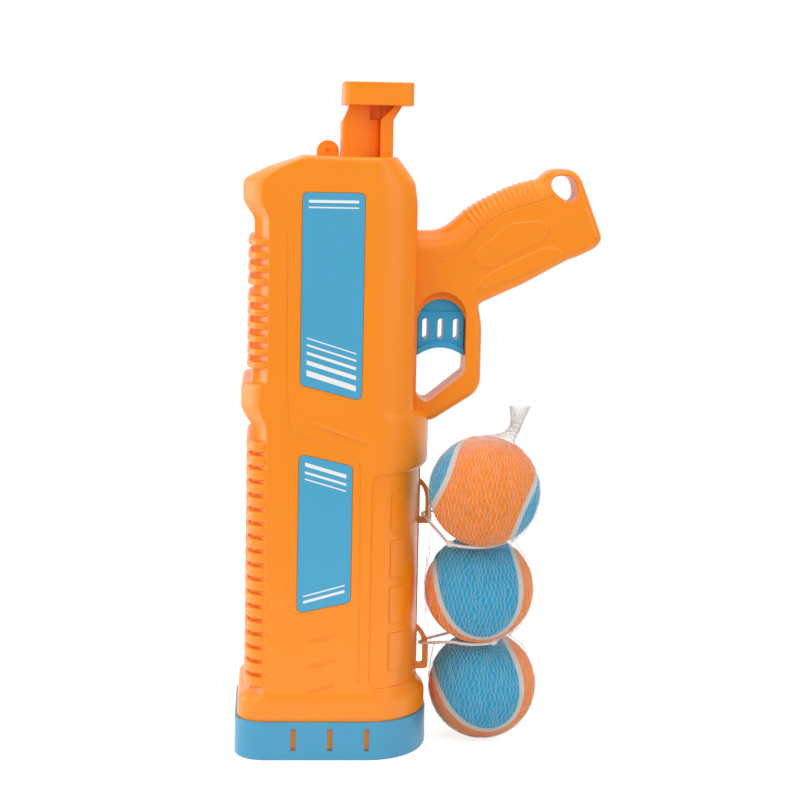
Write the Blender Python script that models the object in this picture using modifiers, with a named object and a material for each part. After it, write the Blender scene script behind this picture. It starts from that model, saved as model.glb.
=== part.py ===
"""Spring launcher for tennis balls, standing on its muzzle, with three balls in a net beside it.

The muzzle faces -Z, the ribbed top -X, the grip +X and the left side -Y. The origin is the centre
of the footprint, on the surface that the muzzle ring stands on.
"""
from math import acos, atan2, cos, hypot, pi, radians, sin, sqrt

import bmesh
import bpy
from mathutils import Matrix, Vector

MM = 0.001

# General fits
GAP = 0.3 * MM
RUNNING_GAP = 0.5 * MM
OVERRUN = 4.0 * MM
STEP = 0.4 * MM
WALL = 2.5 * MM
RIB_WALL = 2.5 * MM
PIN_CLEARANCE = 0.3 * MM
MERGE = 1e-6
FLAT_ANGLE = 0.002

# Driving sizes of the ball and the bore
BALL_R = 31.75 * MM
BORE_R = BALL_R + 0.85 * MM
BORE_X = -1.5 * MM
BARREL_WALL = 1.6 * MM
BARREL_R = BORE_R + BARREL_WALL
BARREL_TOP = 186.0 * MM
RETAINER_THICK = 4.0 * MM
RETAINER_BITE = 1.4 * MM
RETAINER_FINGERS = 6
# Place within one finger's sector, and how far out the edge is from the tip (0) to the bore (1)
FINGER_SHARES = [(-0.1, 0.0), (0.1, 0.0), (0.14, 1.0), (0.32, 1.0), (0.5, 1.0), (0.68, 1.0), (0.86, 1.0)]
STROKE = 90.0 * MM
HAND_PULL = 5.5 * MM

# Plan of the muzzle ring and of the housing, as seen along the barrel
RING_LEFT = -70.0 * MM
RING_RIGHT_SET = 5.8 * MM
RING_DEPTH_SET = 3.0 * MM
RING_CORNER = 17.0 * MM
RING_HEIGHT = 22.5 * MM
RING_WALL = 1.8 * MM
RING_FLOOR = 2.0 * MM
RING_EDGE = 0.9 * MM
RING_SLOTS = 3
RING_SLOT_WIDTH = 2.9 * MM
RING_SLOT_HEIGHT = 12.9 * MM
RING_SLOT_LOW = 5.8 * MM
RING_SLOT_PITCH = 21.0 * MM
RING_SLOT_FIRST = -36.2 * MM

FLAT_RIGHT = 6.5 * MM
FLARE_LEFT_SET = 1.5 * MM
FLARE_RIGHT_SET = 0.8 * MM
FLARE_DEPTH_SET = 2.0 * MM
FLARE_TOP = 34.0 * MM
FLARE_SLOPE = 5.5 * MM

BARREL_FACE_SPACE = 6.8 * MM
BARREL_FRONT_SPACE = 1.4 * MM
BODY_HALF_DEPTH = BARREL_R + BARREL_FACE_SPACE + WALL
RING_HALF_DEPTH = BODY_HALF_DEPTH + RING_DEPTH_SET
FRONT_EDGE = -53.5 * MM
COLUMN_LEFT = -61.5 * MM
COLUMN_HALF = 34.0 * MM
LOWER_RIGHT = BORE_X + BARREL_R + BARREL_FRONT_SPACE + WALL
RING_RIGHT = LOWER_RIGHT + RING_RIGHT_SET
UPPER_RIGHT = 30.0 * MM
UPPER_SIDE_HALF = 29.0 * MM
SEAM_FLAT = 2.0 * MM
BLOCK_LEFT = -68.0 * MM
BLOCK_EDGE = -57.7 * MM
BLOCK_HALF = 29.5 * MM
COLLAR_REACH = 4.0 * MM
COLLAR_LOW = 166.0 * MM
COLLAR_TOP = 197.0 * MM
COLLAR_RAMP = 2.5 * MM
COLLAR_SHOULDER = 5.0 * MM
MID_BLOCK_LOW = 192.2 * MM
MID_BLOCK_TOP = 216.5 * MM
TOP_BLOCK_LOW = 309.5 * MM
TOP_BLOCK_TOP = 330.4 * MM
BLOCK_RAMP = 9.5 * MM
BODY_TOP = 344.2 * MM
TOP_LEFT = -34.6 * MM
TOP_RIGHT = 18.2 * MM
TOP_EDGE_SET = 2.4 * MM
TOP_CHAMFER = 1.5 * MM
TOP_SHARES = [(0.0, 0.0, 0.14), (0.5, 0.41, 0.55), (0.92, 0.93, 0.93), (1.0, 1.0, 1.0)]
RAMP_SHARES = [(0.0, 0.0), (0.52, 0.55), (1.0, 1.0)]
EDGE_STEPS = 3
CORNER_STEPS = 4
SIDE_STEPS = 6

# How full each corner is between a straight chamfer (0) and an ellipse (1)
ROUND_CORNER_SHARE = 1.0
BLOCK_CORNER_SHARE = 0.25
COLUMN_CORNER_SHARE = -0.45
UPPER_SIDE_SHARE = 0.7

# Ribs of the launcher's top
RIB_TIP = -65.0 * MM
RIB_HALF = 36.5 * MM
RIB_HEIGHT = 4.7 * MM
RIB_ROOT = 5.0 * MM
RIB_EDGE_SET = 1.0 * MM
RIB_STARTS = [44.7 * MM, 227.0 * MM, 273.8 * MM]
RIB_PITCHES = [8.0 * MM, 7.4 * MM, 7.4 * MM]
RIB_COUNTS = [18, 6, 4]

# Raised and cut details of the left and right faces
SKIN_CUT = 1.0 * MM
WINDOW_LEFT = 6.4 * MM
WINDOW_LOW = 41.5 * MM
WINDOW_TOP = 166.0 * MM
WINDOW_CORNER = 6.0 * MM
WINDOW_SEAM_SET = 8.0 * MM
WINDOW_PADS = 4
PAD_LEFT = 17.9 * MM
PAD_WIDTH = 9.0 * MM
PAD_HEIGHT = 21.5 * MM
PAD_PITCH = 27.0 * MM
PAD_LOW = 51.9 * MM
MARKS = 3
MARK_LEFT = -28.3 * MM
MARK_LENGTH = 15.5 * MM
MARK_THICK = 1.9 * MM
MARK_RISE = 4.4 * MM
MARK_PITCH = 14.7 * MM
MARK_LOW = 38.6 * MM
MARK_DEPTH = 0.8 * MM

# Labels, sunk in shallow pockets
LABEL_SUNK = 0.5 * MM
LABEL_THICK = 0.4 * MM
LABEL_LEFT = -35.0 * MM
UPPER_LABEL_RIGHT = -0.4 * MM
UPPER_LABEL_LOW = 208.2 * MM
UPPER_LABEL_TOP = 324.2 * MM
UPPER_LABEL_SLANT = 8.6 * MM
LOWER_LABEL_RIGHT = -4.8 * MM
LOWER_LABEL_LOW = 85.8 * MM
LOWER_LABEL_TOP = 177.6 * MM
LOWER_LABEL_TOP_SLANT = 6.8 * MM
LOWER_LABEL_LOW_SLANT = 6.6 * MM
LABEL_CORNER = 3.0 * MM

# Grip, from its root on the housing to the heel with the lanyard hole
GRIP_REACH = 107.6 * MM
GRIP_ROOT_LOW = 261.0 * MM
GRIP_RISE = 78.6 * MM
GRIP_HALF = 14.5 * MM
GRIP_EDGE = 4.2 * MM
GRIP_TOP_SHARES = [
    (0.112, 0.527), (0.177, 0.564), (0.250, 0.654), (0.341, 0.739), (0.433, 0.804), (0.516, 0.858),
    (0.571, 0.883), (0.654, 0.911), (0.700, 0.969), (0.736, 0.992), (0.802, 1.000), (0.849, 0.980),
    (0.883, 0.930), (1.000, 0.520), (1.000, 0.483), (0.979, 0.431), (0.873, 0.359), (0.826, 0.338),
    (0.586, 0.154), (0.346, 0.000),
]
STRAP_RIBS = 14
STRAP_START_SHARES = (0.262, 0.664)
STRAP_END_SHARES = (0.640, 0.905)
STRAP_BOW_SHARE = 0.052
STRAP_RIB_LENGTH = 1.7 * MM
STRAP_RIB_RISE = 1.1 * MM
STRAP_RIB_HALF = 9.0 * MM
LANYARD_SHARES = (0.795, 0.858)
LANYARD_HOLE_R = 7.0 * MM
LANYARD_NARROW_SHARE = 0.82
LANYARD_RIM = 2.2 * MM

# Trigger guard and its opening
GUARD_LEFT = 32.2 * MM
GUARD_WIDTH = 28.2 * MM
GUARD_BAR = 9.3 * MM
GUARD_LOW = 204.4 * MM
GUARD_HEEL = 11.4 * MM
GUARD_CORNER_RISE = 16.8 * MM
GUARD_ARCH_CENTRE = 253.8 * MM
GUARD_WEB_SET = 4.4 * MM
GUARD_WEB_DEPTH = 5.0 * MM
GUARD_FOOT_WIDTH = 3.4 * MM
GUARD_CHAMFER = 4.2 * MM
GUARD_RIM = 2.0 * MM
ARCH_STEPS = 8

# Sling loops on the front of the lower housing
LOOP_BAR = 3.3 * MM
LOOP_REACH = 7.1 * MM
LOOP_HEIGHT = 26.1 * MM
LOOP_HALF = 2.5 * MM
LOOP_ROOT = 1.6 * MM
UPPER_LOOP_SHARE = 4.113
LOWER_LOOP_SHARE = 1.345
UPPER_LOOP_LOW = BALL_R * UPPER_LOOP_SHARE
LOWER_LOOP_LOW = BALL_R * LOWER_LOOP_SHARE
LOOP_BEND_SHARES = [(0.0, 1.0), (0.16, 1.0), (0.60, 0.86), (0.90, 0.70), (1.0, 0.56)]

# Round lug on the rear end
LUG_X = -20.4 * MM
LUG_R = 6.3 * MM
LUG_RISE = 2.6 * MM
LUG_HALF = 4.0 * MM
LUG_DIMPLE_R = 1.6 * MM
LUG_DIMPLE_DEPTH = 1.0 * MM
LUG_STEPS = 8

# Walls across the inside of the housing
BULKHEAD_FIRST = 30.0 * MM
BULKHEAD_PITCH = 80.0 * MM
BULKHEADS = 2
BARREL_STOP_R = 31.0 * MM
STEM_GUIDE_LOW = 300.0 * MM

# Cocking handle
STEM_LEFT = -13.2 * MM
STEM_RIB_LEFT = 9.0 * MM
STEM_RIB_RIGHT = 16.2 * MM
STEM_WEB_HALF = 9.5 * MM
STEM_RIB_HALF = 16.0 * MM
STEM_FOOT = 243.0 * MM
BAR_LEFT = -12.3 * MM
BAR_RIGHT = 27.3 * MM
BAR_LOW = 373.2 * MM
BAR_HEIGHT = 12.8 * MM
BAR_HALF = 24.0 * MM
BAR_EDGE = 3.2 * MM
STEM_NECK = 11.0 * MM
STEM_NECK_SET = 5.0 * MM
GUSSET_RISE = 8.0 * MM
GUSSET_REACH = 5.0 * MM
ROD_SOCKET_DEPTH = 23.0 * MM
ROD_PIN_R = 1.5 * MM
ROD_PIN_RISE = 11.0 * MM

# Plunger
CHAMBER_TOP = 70.0 * MM
BUFFER_THICK = 2.4 * MM
BUFFER_R = 26.0 * MM
HEAD_HEIGHT = 19.0 * MM
HEAD_FLOOR = 5.0 * MM
HEAD_WALL = 3.0 * MM
HEAD_CLEARANCE = 0.7 * MM
SEAL_HEIGHT = 3.0 * MM
SEAL_DEPTH = 2.2 * MM
SEAL_LIFT = 6.5 * MM
SEAL_CLEARANCE = 0.3 * MM
HUB_R = 9.0 * MM
HUB_RISE = 4.0 * MM
ROD_R = 6.0 * MM
GROOVE_R = 3.8 * MM
GROOVE_LENGTH = 7.0 * MM
ROUND_STEPS = 32
SMALL_STEPS = 12

# Main spring and its seat
SPRING_R = 12.4 * MM
SPRING_WIRE_R = 1.3 * MM
SPRING_TURNS = 9
SPRING_TURN_POINTS = 8
SEAT_LOW = 219.0 * MM
SEAT_THICK = 3.0 * MM
SEAT_R = 19.0 * MM
SEAT_BUSH_R = 9.0 * MM

# Sear lever, which hangs from its pivot and catches the rod's groove
SEAR_X = 22.0 * MM
SEAR_Z = 262.0 * MM
SEAR_HALF = 3.0 * MM
SEAR_ARM = 7.0 * MM
SEAR_NOSE_THICK = 5.0 * MM
SEAR_NOSE_CLEARANCE = 4.2 * MM
SEAR_FOOT_WIDTH = 4.0 * MM
SEAR_TAIL_LOW = 274.5 * MM
SEAR_TAIL_THICK = 6.0 * MM
SEAR_TAIL_BEND = 31.0 * MM
SEAR_TAIL_REACH = 32.0 * MM
SEAR_PIN_R = 2.0 * MM
SEAR_PIN_HALF = 8.0 * MM
SEAR_BOSS_R = 4.6 * MM

# Trigger
TRIGGER_HALF = 8.0 * MM
TRIGGER_LOW = 230.8 * MM
TRIGGER_TOP = 266.0 * MM
TRIGGER_BOW = 4.6 * MM
TRIGGER_RIM = 3.0 * MM
TRIGGER_RIM_HALF = 9.6 * MM
TRIGGER_SLOTS = 3
TRIGGER_SLOT_WIDTH = 3.6 * MM
TRIGGER_SLOT_LOW = 239.9 * MM
TRIGGER_SLOT_HEIGHT = 12.2 * MM
TRIGGER_SLOT_PITCH = 8.9 * MM
TONGUE_X = 50.0 * MM
TONGUE_WIDTH = 6.0 * MM
TONGUE_HALF = 3.0 * MM
EAR_REACH = 1.6 * MM
EAR_HEIGHT = 4.0 * MM

# Sear spring, which also returns the trigger
SEAR_SPRING_R = 2.6 * MM
SEAR_WIRE_R = 0.45 * MM
SEAR_SPRING_TURNS = 6
SEAR_SPRING_X = 46.0 * MM
SEAR_SPRING_LENGTH = 11.6 * MM
SPRING_LEDGE_HALF = 3.6 * MM
SPRING_LEDGE_THICK = 2.0 * MM

# Screws that close the housing
SCREW_R = 1.5 * MM
SCREW_HEAD_R = 3.0 * MM
SCREW_HEAD = 2.2 * MM
SCREW_LENGTH = 17.0 * MM
SCREW_SEAT = 7.0 * MM
BOSS_R = 5.0 * MM
BODY_SCREW_X = -48.0 * MM
BODY_SCREW_FIRST = 30.0 * MM
BODY_SCREW_PITCH = 72.0 * MM
BODY_SCREWS = 5
GRIP_SCREW_SHARES = [(0.36, 0.42), (0.60, 0.60)]

# Balls, net and ties; the shares are of a ball's radius, in X and Y, from the lowest ball up
BALL_SPACE = 0.8 * MM
BALL_SHIFT_SHARES = [(-0.0175, 0.0), (-0.1775, -0.532), (-0.193, -1.165)]
BALL_STEPS = 20
BALL_RINGS = 12
NET_GAP = 0.7 * MM
NET_SAG = 0.5 * MM
NET_WALL = 0.5 * MM
NET_SIDES = 16
NET_RISE_SHARES = [-0.6, -0.3, 0.0, 0.3, 0.6]
NET_CAP_SHARE = 0.82
NET_POLE_SHARE = 0.95
NET_FOOT_R = 8.0 * MM
NET_NECK_SHARE = 0.772
NET_NECK_SHIFT_SHARES = [-0.095, -0.063]
NET_TAIL_R = 2.6 * MM
NET_TAIL_LIFT = 2.2 * MM
NET_TAIL_NECK = 3.0 * MM
NET_TAIL_X = 13.0 * MM
NET_FAN_R = 6.0 * MM
NET_FAN_RISE = 13.0 * MM
NET_FAN_X = 15.0 * MM
TIE_R = 0.9 * MM
TIE_GAP = 1.0 * MM
TIE_TURN_STEPS = 20
TIE_BEND_STEPS = 6
TIE_RUN_STEPS = 4
TIE_BEND_R = 8.0 * MM
TIE_LEVEL_SHARE = 0.6
UPPER_TIE_LIFT = 2.0 * MM
LOWER_TIE_LIFT = 12.0 * MM

ORANGE = (1.0, 0.292, 0.009, 1.0)
BLUE = (0.067, 0.407, 0.651, 1.0)
STEEL = (0.55, 0.56, 0.58, 1.0)
GREY = (0.2, 0.2, 0.21, 1.0)
WHITE = (0.85, 0.85, 0.86, 1.0)
RUBBER = (0.05, 0.05, 0.055, 1.0)
FELT_ORANGE = (0.83, 0.16, 0.03, 1.0)
FELT_BLUE = (0.035, 0.23, 0.40, 1.0)


def fraction(start, end, share):
    """The value that lies the given share of the way from start to end."""
    return start + (end - start) * share


def link(name, mesh):
    """A new object with this mesh, among the tools until it is finished as a part."""
    item = bpy.data.objects.new(name, mesh)
    tools.objects.link(item)
    return item


def from_bmesh(name, bm):
    """A new object from a bmesh, in flat triangles with their faces pointing out."""
    bmesh.ops.triangulate(bm, faces=bm.faces)
    bmesh.ops.recalc_face_normals(bm, faces=bm.faces)
    mesh = bpy.data.meshes.new(name)
    bm.to_mesh(mesh)
    bm.free()
    return link(name, mesh)


def evaluated_mesh(item):
    """The mesh that an object shows with its modifiers."""
    bpy.context.view_layer.update()
    graph = bpy.context.evaluated_depsgraph_get()
    return bpy.data.meshes.new_from_object(item.evaluated_get(graph))


def baked(item):
    """Replace an object by a plain mesh object in the same place, its doubles merged."""
    mesh = evaluated_mesh(item)
    mesh.transform(item.matrix_world)
    name = item.name
    bpy.data.objects.remove(item)
    bm = bmesh.new()
    bm.from_mesh(mesh)
    bmesh.ops.remove_doubles(bm, verts=bm.verts, dist=MERGE)
    return from_bmesh(name, bm)


def combine(target, tool, operation):
    """Join a tool to an object or cut it out, and remove the tool."""
    modifier = target.modifiers.new(operation.title(), "BOOLEAN")
    modifier.operation = operation
    modifier.solver = "EXACT"
    modifier.object = tool
    mesh = evaluated_mesh(target)
    target.modifiers.remove(modifier)
    target.data = mesh
    bpy.data.objects.remove(tool)
    return target


def cut(target, *cutters):
    """Cut each tool out of an object."""
    for cutter in cutters:
        combine(target, cutter, "DIFFERENCE")
    return target


def join(target, *additions):
    """Fuse each tool to an object."""
    for addition in additions:
        combine(target, addition, "UNION")
    return target


def group(name, items):
    """One tool made of several that don't meet."""
    bm = bmesh.new()
    for item in items:
        bm.from_mesh(item.data)
        bpy.data.objects.remove(item)
    return from_bmesh(name, bm)


def loft(name, loops):
    """A closed solid through loops of equally many points, with a cap on the first and the last."""
    bm = bmesh.new()
    rings = [[bm.verts.new(point) for point in loop] for loop in loops]
    for low, high in zip(rings, rings[1:]):
        for index, corner in enumerate(low):
            following = (index + 1) % len(low)
            bm.faces.new((corner, low[following], high[following], high[index]))
    for ring in (rings[0], rings[-1]):
        edges = [bm.edges.get((corner, ring[index - 1])) for index, corner in enumerate(ring)]
        bmesh.ops.triangle_fill(bm, edges=edges, use_beauty=True)
    return from_bmesh(name, bm)


def slab(name, outline, low, high):
    """A flat outline in X and Y, as thick as from low to high."""
    curve = bpy.data.curves.new(name, "CURVE")
    curve.dimensions = "2D"
    curve.fill_mode = "BOTH"
    curve.extrude = (high - low) / 2
    spline = curve.splines.new("POLY")
    spline.points.add(len(outline) - 1)
    for point, (x, y) in zip(spline.points, outline):
        point.co = (x, y, 0.0, 1.0)
    spline.use_cyclic_u = True
    item = link(name, curve)
    item.location.z = (low + high) / 2
    return baked(item)


def plate(name, outline, low, high):
    """A flat outline in X and Z, as thick as from low to high along Y."""
    item = slab(name, outline, -high, -low)
    item.rotation_euler.x = pi / 2
    return baked(item)


def box(name, low, high):
    """A box between two corners."""
    bm = bmesh.new()
    size = [end - start for start, end in zip(low, high)]
    centre = [(start + end) / 2 for start, end in zip(low, high)]
    bmesh.ops.create_cube(bm, size=1.0, matrix=Matrix.LocRotScale(centre, None, size))
    return from_bmesh(name, bm)


def cylinder(name, radius, start, end, steps=SMALL_STEPS):
    """A round bar between two points."""
    start = Vector(start)
    end = Vector(end)
    along = end - start
    turn = along.to_track_quat("Z", "Y").to_matrix().to_4x4()
    place = Matrix.Translation((start + end) / 2) @ turn
    bm = bmesh.new()
    bmesh.ops.create_cone(
        bm, cap_ends=True, segments=steps, radius1=radius, radius2=radius, depth=along.length, matrix=place
    )
    return from_bmesh(name, bm)


def turned(name, profile, place, steps=ROUND_STEPS):
    """A profile of radius and height, turned round its upright line and put in its place."""
    mesh = bpy.data.meshes.new(name)
    count = len(profile)
    closed = profile[0][0] > 0
    edges = [(index, (index + 1) % count) for index in range(count if closed else count - 1)]
    mesh.from_pydata([(radius, 0.0, height) for radius, height in profile], edges, [])
    item = link(name, mesh)
    item.matrix_world = place
    screw = item.modifiers.new("Turn", "SCREW")
    screw.steps = steps
    screw.render_steps = steps
    screw.use_merge_vertices = True
    screw.merge_threshold = MERGE
    return baked(item)


def tube(name, points, radius, closed=False, sides=2):
    """A round tube along a list of points."""
    curve = bpy.data.curves.new(name, "CURVE")
    curve.dimensions = "3D"
    curve.bevel_depth = radius
    curve.bevel_resolution = sides
    curve.use_fill_caps = True
    spline = curve.splines.new("POLY")
    spline.points.add(len(points) - 1)
    for point, place in zip(spline.points, points):
        point.co = (*place, 1.0)
    spline.use_cyclic_u = closed
    return baked(link(name, curve))


def least_gap(points, radius, turn_points):
    """The least distance between the surfaces of two turns of a coiled wire."""
    nearest = min(
        (Vector(a) - Vector(b)).length
        for index, a in enumerate(points)
        for b in points[index + turn_points // 2:]
    )
    return nearest - 2 * radius


def coil(name, x, radius, wire, low, high, turns):
    """A compression spring between two heights, wound round an upright line."""
    steps = turns * SPRING_TURN_POINTS
    points = []
    for step in range(steps + 1):
        angle = 2 * pi * step / SPRING_TURN_POINTS
        height = fraction(low + wire, high - wire, step / steps)
        points.append((x + radius * cos(angle), radius * sin(angle), height))
    gap = least_gap(points, wire, SPRING_TURN_POINTS)
    print(f"{name}: least gap between turns {gap / MM:.2f} mm")
    return tube(name, points, wire, sides=1)


def softened(item, width, segments=2):
    """Round an object's sharp edges."""
    bevel = item.modifiers.new("Round", "BEVEL")
    bevel.width = width
    bevel.segments = segments
    bevel.limit_method = "ANGLE"
    return baked(item)


def inset(outline, amount):
    """An outline moved in by the same amount along every side; a negative amount moves it out."""
    area = sum(a[0] * b[1] - b[0] * a[1] for a, b in zip(outline, outline[1:] + outline[:1]))
    side = 1.0 if area > 0 else -1.0
    moved = []
    for index, (x, z) in enumerate(outline):
        before = outline[index - 1]
        after = outline[(index + 1) % len(outline)]
        first = Vector((x - before[0], z - before[1])).normalized()
        second = Vector((after[0] - x, after[1] - z)).normalized()
        normal = Vector((-first.y - second.y, first.x + second.x)).normalized() * side
        reach = amount / max(normal.dot(Vector((-first.y, first.x)) * side), 0.4)
        moved.append((x + normal.x * reach, z + normal.y * reach))
    return moved


def filleted(outline, radius, steps=3):
    """An outline with each corner rounded by an arc."""
    rounded = []
    for index, corner in enumerate(outline):
        here = Vector(corner)
        before = Vector(outline[index - 1]) - here
        after = Vector(outline[(index + 1) % len(outline)]) - here
        half = before.angle(after) / 2
        back = radius / sin(half) * cos(half)
        middle = here + (before.normalized() + after.normalized()).normalized() * (radius / sin(half))
        start = here + before.normalized() * back - middle
        end = here + after.normalized() * back - middle
        for step in range(steps + 1):
            rounded.append(tuple(middle + start.slerp(end, step / steps).normalized() * radius))
    return rounded


def rectangle(left, low, right, high):
    """The four corners of an upright rectangle."""
    return [(left, low), (right, low), (right, high), (left, high)]


def arc(centre, radius, start, end, steps):
    """Points along a circle's arc, from one angle to another."""
    points = []
    for step in range(steps + 1):
        angle = fraction(start, end, step / steps)
        points.append((centre[0] + radius * cos(angle), centre[1] + radius * sin(angle)))
    return points


def plan(left, half, edge, deep, corner_share, right, side_half, side_share):
    """The sizes of one section across the housing, named."""
    return dict(
        left=left, half=half, edge=edge, deep=deep, corner_share=corner_share,
        right=right, side_half=side_half, side_share=side_share,
    )


def shrunk(sizes, wall):
    """The same section moved in by a wall's thickness."""
    return dict(
        sizes,
        left=sizes["left"] + wall, half=sizes["half"] - wall / 2, edge=sizes["edge"] + wall / 2,
        deep=sizes["deep"] - wall, corner_share=max(sizes["corner_share"], 0.0),
        right=sizes["right"] - wall,
    )


def ring_plan(set_in):
    """The muzzle ring's section, moved in by the given amount."""
    return plan(
        RING_LEFT + set_in, RING_HALF_DEPTH - RING_CORNER, RING_LEFT + RING_CORNER,
        RING_HALF_DEPTH - set_in, ROUND_CORNER_SHARE, RING_RIGHT - set_in, SEAM_FLAT, ROUND_CORNER_SHARE,
    )


def plan_loop(sizes, height, seam):
    """The near half of a section, from the seam on the left round to the seam on the right."""
    points = [(sizes["left"], seam)]
    for step in range(CORNER_STEPS + 1):
        share = step / CORNER_STEPS
        bulge = sizes["corner_share"]
        turn = share * pi / 2
        chord = (
            fraction(sizes["left"], sizes["edge"], share),
            fraction(sizes["half"], sizes["deep"], share),
        )
        bow = (
            fraction(sizes["edge"], sizes["left"], cos(turn)),
            fraction(sizes["half"], sizes["deep"], sin(turn)),
        )
        points.append((fraction(chord[0], bow[0], bulge), -fraction(chord[1], bow[1], bulge)))
    for step in range(SIDE_STEPS + 1):
        share = step / SIDE_STEPS
        bulge = sizes["side_share"]
        turn = share * pi / 2
        chord = (
            fraction(FLAT_RIGHT, sizes["right"], share),
            fraction(sizes["deep"], sizes["side_half"], share),
        )
        bow = (
            fraction(FLAT_RIGHT, sizes["right"], sin(turn)),
            fraction(sizes["side_half"], sizes["deep"], cos(turn)),
        )
        points.append((fraction(chord[0], bow[0], bulge), -fraction(chord[1], bow[1], bulge)))
    points.append((sizes["right"], seam))
    return [(x, y, height) for x, y in points]


REBATE_PLAN = ring_plan(RING_WALL + GAP)
FLARE_PLAN = plan(
    RING_LEFT + FLARE_LEFT_SET, RING_HALF_DEPTH - RING_CORNER, RING_LEFT + RING_CORNER,
    RING_HALF_DEPTH - FLARE_DEPTH_SET, ROUND_CORNER_SHARE,
    RING_RIGHT - FLARE_RIGHT_SET, SEAM_FLAT, ROUND_CORNER_SHARE,
)
LOWER_PLAN = plan(
    COLUMN_LEFT, COLUMN_HALF, FRONT_EDGE, BODY_HALF_DEPTH, COLUMN_CORNER_SHARE,
    LOWER_RIGHT, SEAM_FLAT, ROUND_CORNER_SHARE,
)
COLLAR_PLAN = dict(LOWER_PLAN, right=LOWER_RIGHT + COLLAR_REACH)
UPPER_PLAN = dict(LOWER_PLAN, right=UPPER_RIGHT, side_half=UPPER_SIDE_HALF, side_share=UPPER_SIDE_SHARE)


def toward_block(sizes, share):
    """A section whose left side has gone the given share of the way from the column to a block."""
    return dict(
        sizes,
        left=fraction(COLUMN_LEFT, BLOCK_LEFT, share), half=fraction(COLUMN_HALF, BLOCK_HALF, share),
        edge=fraction(FRONT_EDGE, BLOCK_EDGE, share),
        corner_share=fraction(COLUMN_CORNER_SHARE, BLOCK_CORNER_SHARE, share),
    )


def top_plan(left_share, right_share):
    """A section of the sloping rear end."""
    left = fraction(BLOCK_LEFT, TOP_LEFT, left_share)
    return dict(
        UPPER_PLAN,
        left=left, edge=left + fraction(BLOCK_EDGE - BLOCK_LEFT, TOP_CHAMFER, left_share),
        half=fraction(BLOCK_HALF, BODY_HALF_DEPTH - 2 * TOP_EDGE_SET, left_share),
        corner_share=BLOCK_CORNER_SHARE, right=fraction(UPPER_RIGHT, TOP_RIGHT, right_share),
    )


def outer_sections():
    """Height and section of each level of the housing's outside."""
    levels = [
        (RING_FLOOR + GAP, REBATE_PLAN),
        (RING_HEIGHT + GAP - STEP / 2, REBATE_PLAN),
        (RING_HEIGHT + GAP, FLARE_PLAN),
        (FLARE_TOP, FLARE_PLAN),
        (FLARE_TOP + FLARE_SLOPE, LOWER_PLAN),
        (COLLAR_LOW, LOWER_PLAN),
        (COLLAR_LOW + COLLAR_RAMP, COLLAR_PLAN),
    ]
    for rise, share in RAMP_SHARES:
        level = COLLAR_PLAN if rise < 1.0 else UPPER_PLAN
        levels.append((MID_BLOCK_LOW + BLOCK_RAMP * rise, toward_block(level, share)))
    levels += [
        (MID_BLOCK_TOP, toward_block(UPPER_PLAN, 1.0)),
        (MID_BLOCK_TOP + STEP, UPPER_PLAN),
    ]
    for rise, share in RAMP_SHARES:
        levels.append((TOP_BLOCK_LOW + BLOCK_RAMP * rise, toward_block(UPPER_PLAN, share)))
    for rise, left_share, right_share in TOP_SHARES:
        sizes = top_plan(left_share, right_share)
        if rise == 1.0:
            sizes = dict(sizes, deep=BODY_HALF_DEPTH - TOP_EDGE_SET)
        levels.append((fraction(TOP_BLOCK_TOP, BODY_TOP, rise), sizes))
    return levels


def inner_sections():
    """Height and section of each level of the hollow inside."""
    lower = shrunk(LOWER_PLAN, WALL)
    upper = shrunk(UPPER_PLAN, WALL)
    levels = [
        (-OVERRUN, lower),
        (COLLAR_TOP - COLLAR_SHOULDER, lower),
        (COLLAR_TOP, upper),
        (TOP_BLOCK_TOP - 2 * WALL, upper),
    ]
    for rise, left_share, right_share in TOP_SHARES[1:]:
        sizes = shrunk(top_plan(left_share, right_share), WALL)
        levels.append((fraction(TOP_BLOCK_TOP, BODY_TOP, rise) - WALL, sizes))
    return levels


def grip_point(shares):
    """A place on the grip, from its shares of the reach and the rise."""
    return (UPPER_RIGHT + GRIP_REACH * shares[0], GRIP_ROOT_LOW + GRIP_RISE * shares[1])


GUARD_RIGHT = GUARD_LEFT + GUARD_WIDTH
GUARD_OUTSIDE = GUARD_RIGHT + GUARD_BAR
GUARD_FOOT = GUARD_LOW - GUARD_HEEL
GUARD_SHARES = [(0.967, 0.074), (1.0, 0.184), (1.0, 0.679), (0.919, 0.765), (0.519, 0.916), (0.302, 1.0)]


def handle_outline():
    """The side outline of the grip and the guard, from the rear of the root round to its front."""
    root = UPPER_RIGHT - 2 * GRIP_EDGE
    points = [(root, grip_point(GRIP_TOP_SHARES[0])[1])]
    points += [grip_point(shares) for shares in GRIP_TOP_SHARES]
    for across, down in GUARD_SHARES:
        points.append((
            fraction(UPPER_RIGHT, GUARD_OUTSIDE, across), fraction(GRIP_ROOT_LOW, GUARD_FOOT, down),
        ))
    points.append((root, GUARD_FOOT))
    return points


def guard_outline(drop):
    """The opening for the finger, its arch lowered by drop."""
    radius = GUARD_WIDTH / 2
    points = arc((GUARD_LEFT + radius, GUARD_ARCH_CENTRE - drop), radius, 0.0, pi, ARCH_STEPS)
    points += [
        (GUARD_LEFT, GUARD_LOW + GUARD_CHAMFER),
        (GUARD_LEFT + GUARD_CHAMFER, GUARD_LOW),
        (GUARD_LEFT + GUARD_CHAMFER + GUARD_FOOT_WIDTH, GUARD_LOW),
        (GUARD_RIGHT, GUARD_LOW + GUARD_CORNER_RISE),
    ]
    return points


def lanyard_outline():
    """The hole in the heel of the grip."""
    centre = grip_point(LANYARD_SHARES)
    points = arc(centre, LANYARD_HOLE_R, 0.0, 2 * pi, 2 * ARCH_STEPS)[:-1]
    return [(x, fraction(centre[1], z, LANYARD_NARROW_SHARE)) for x, z in points]


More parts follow.
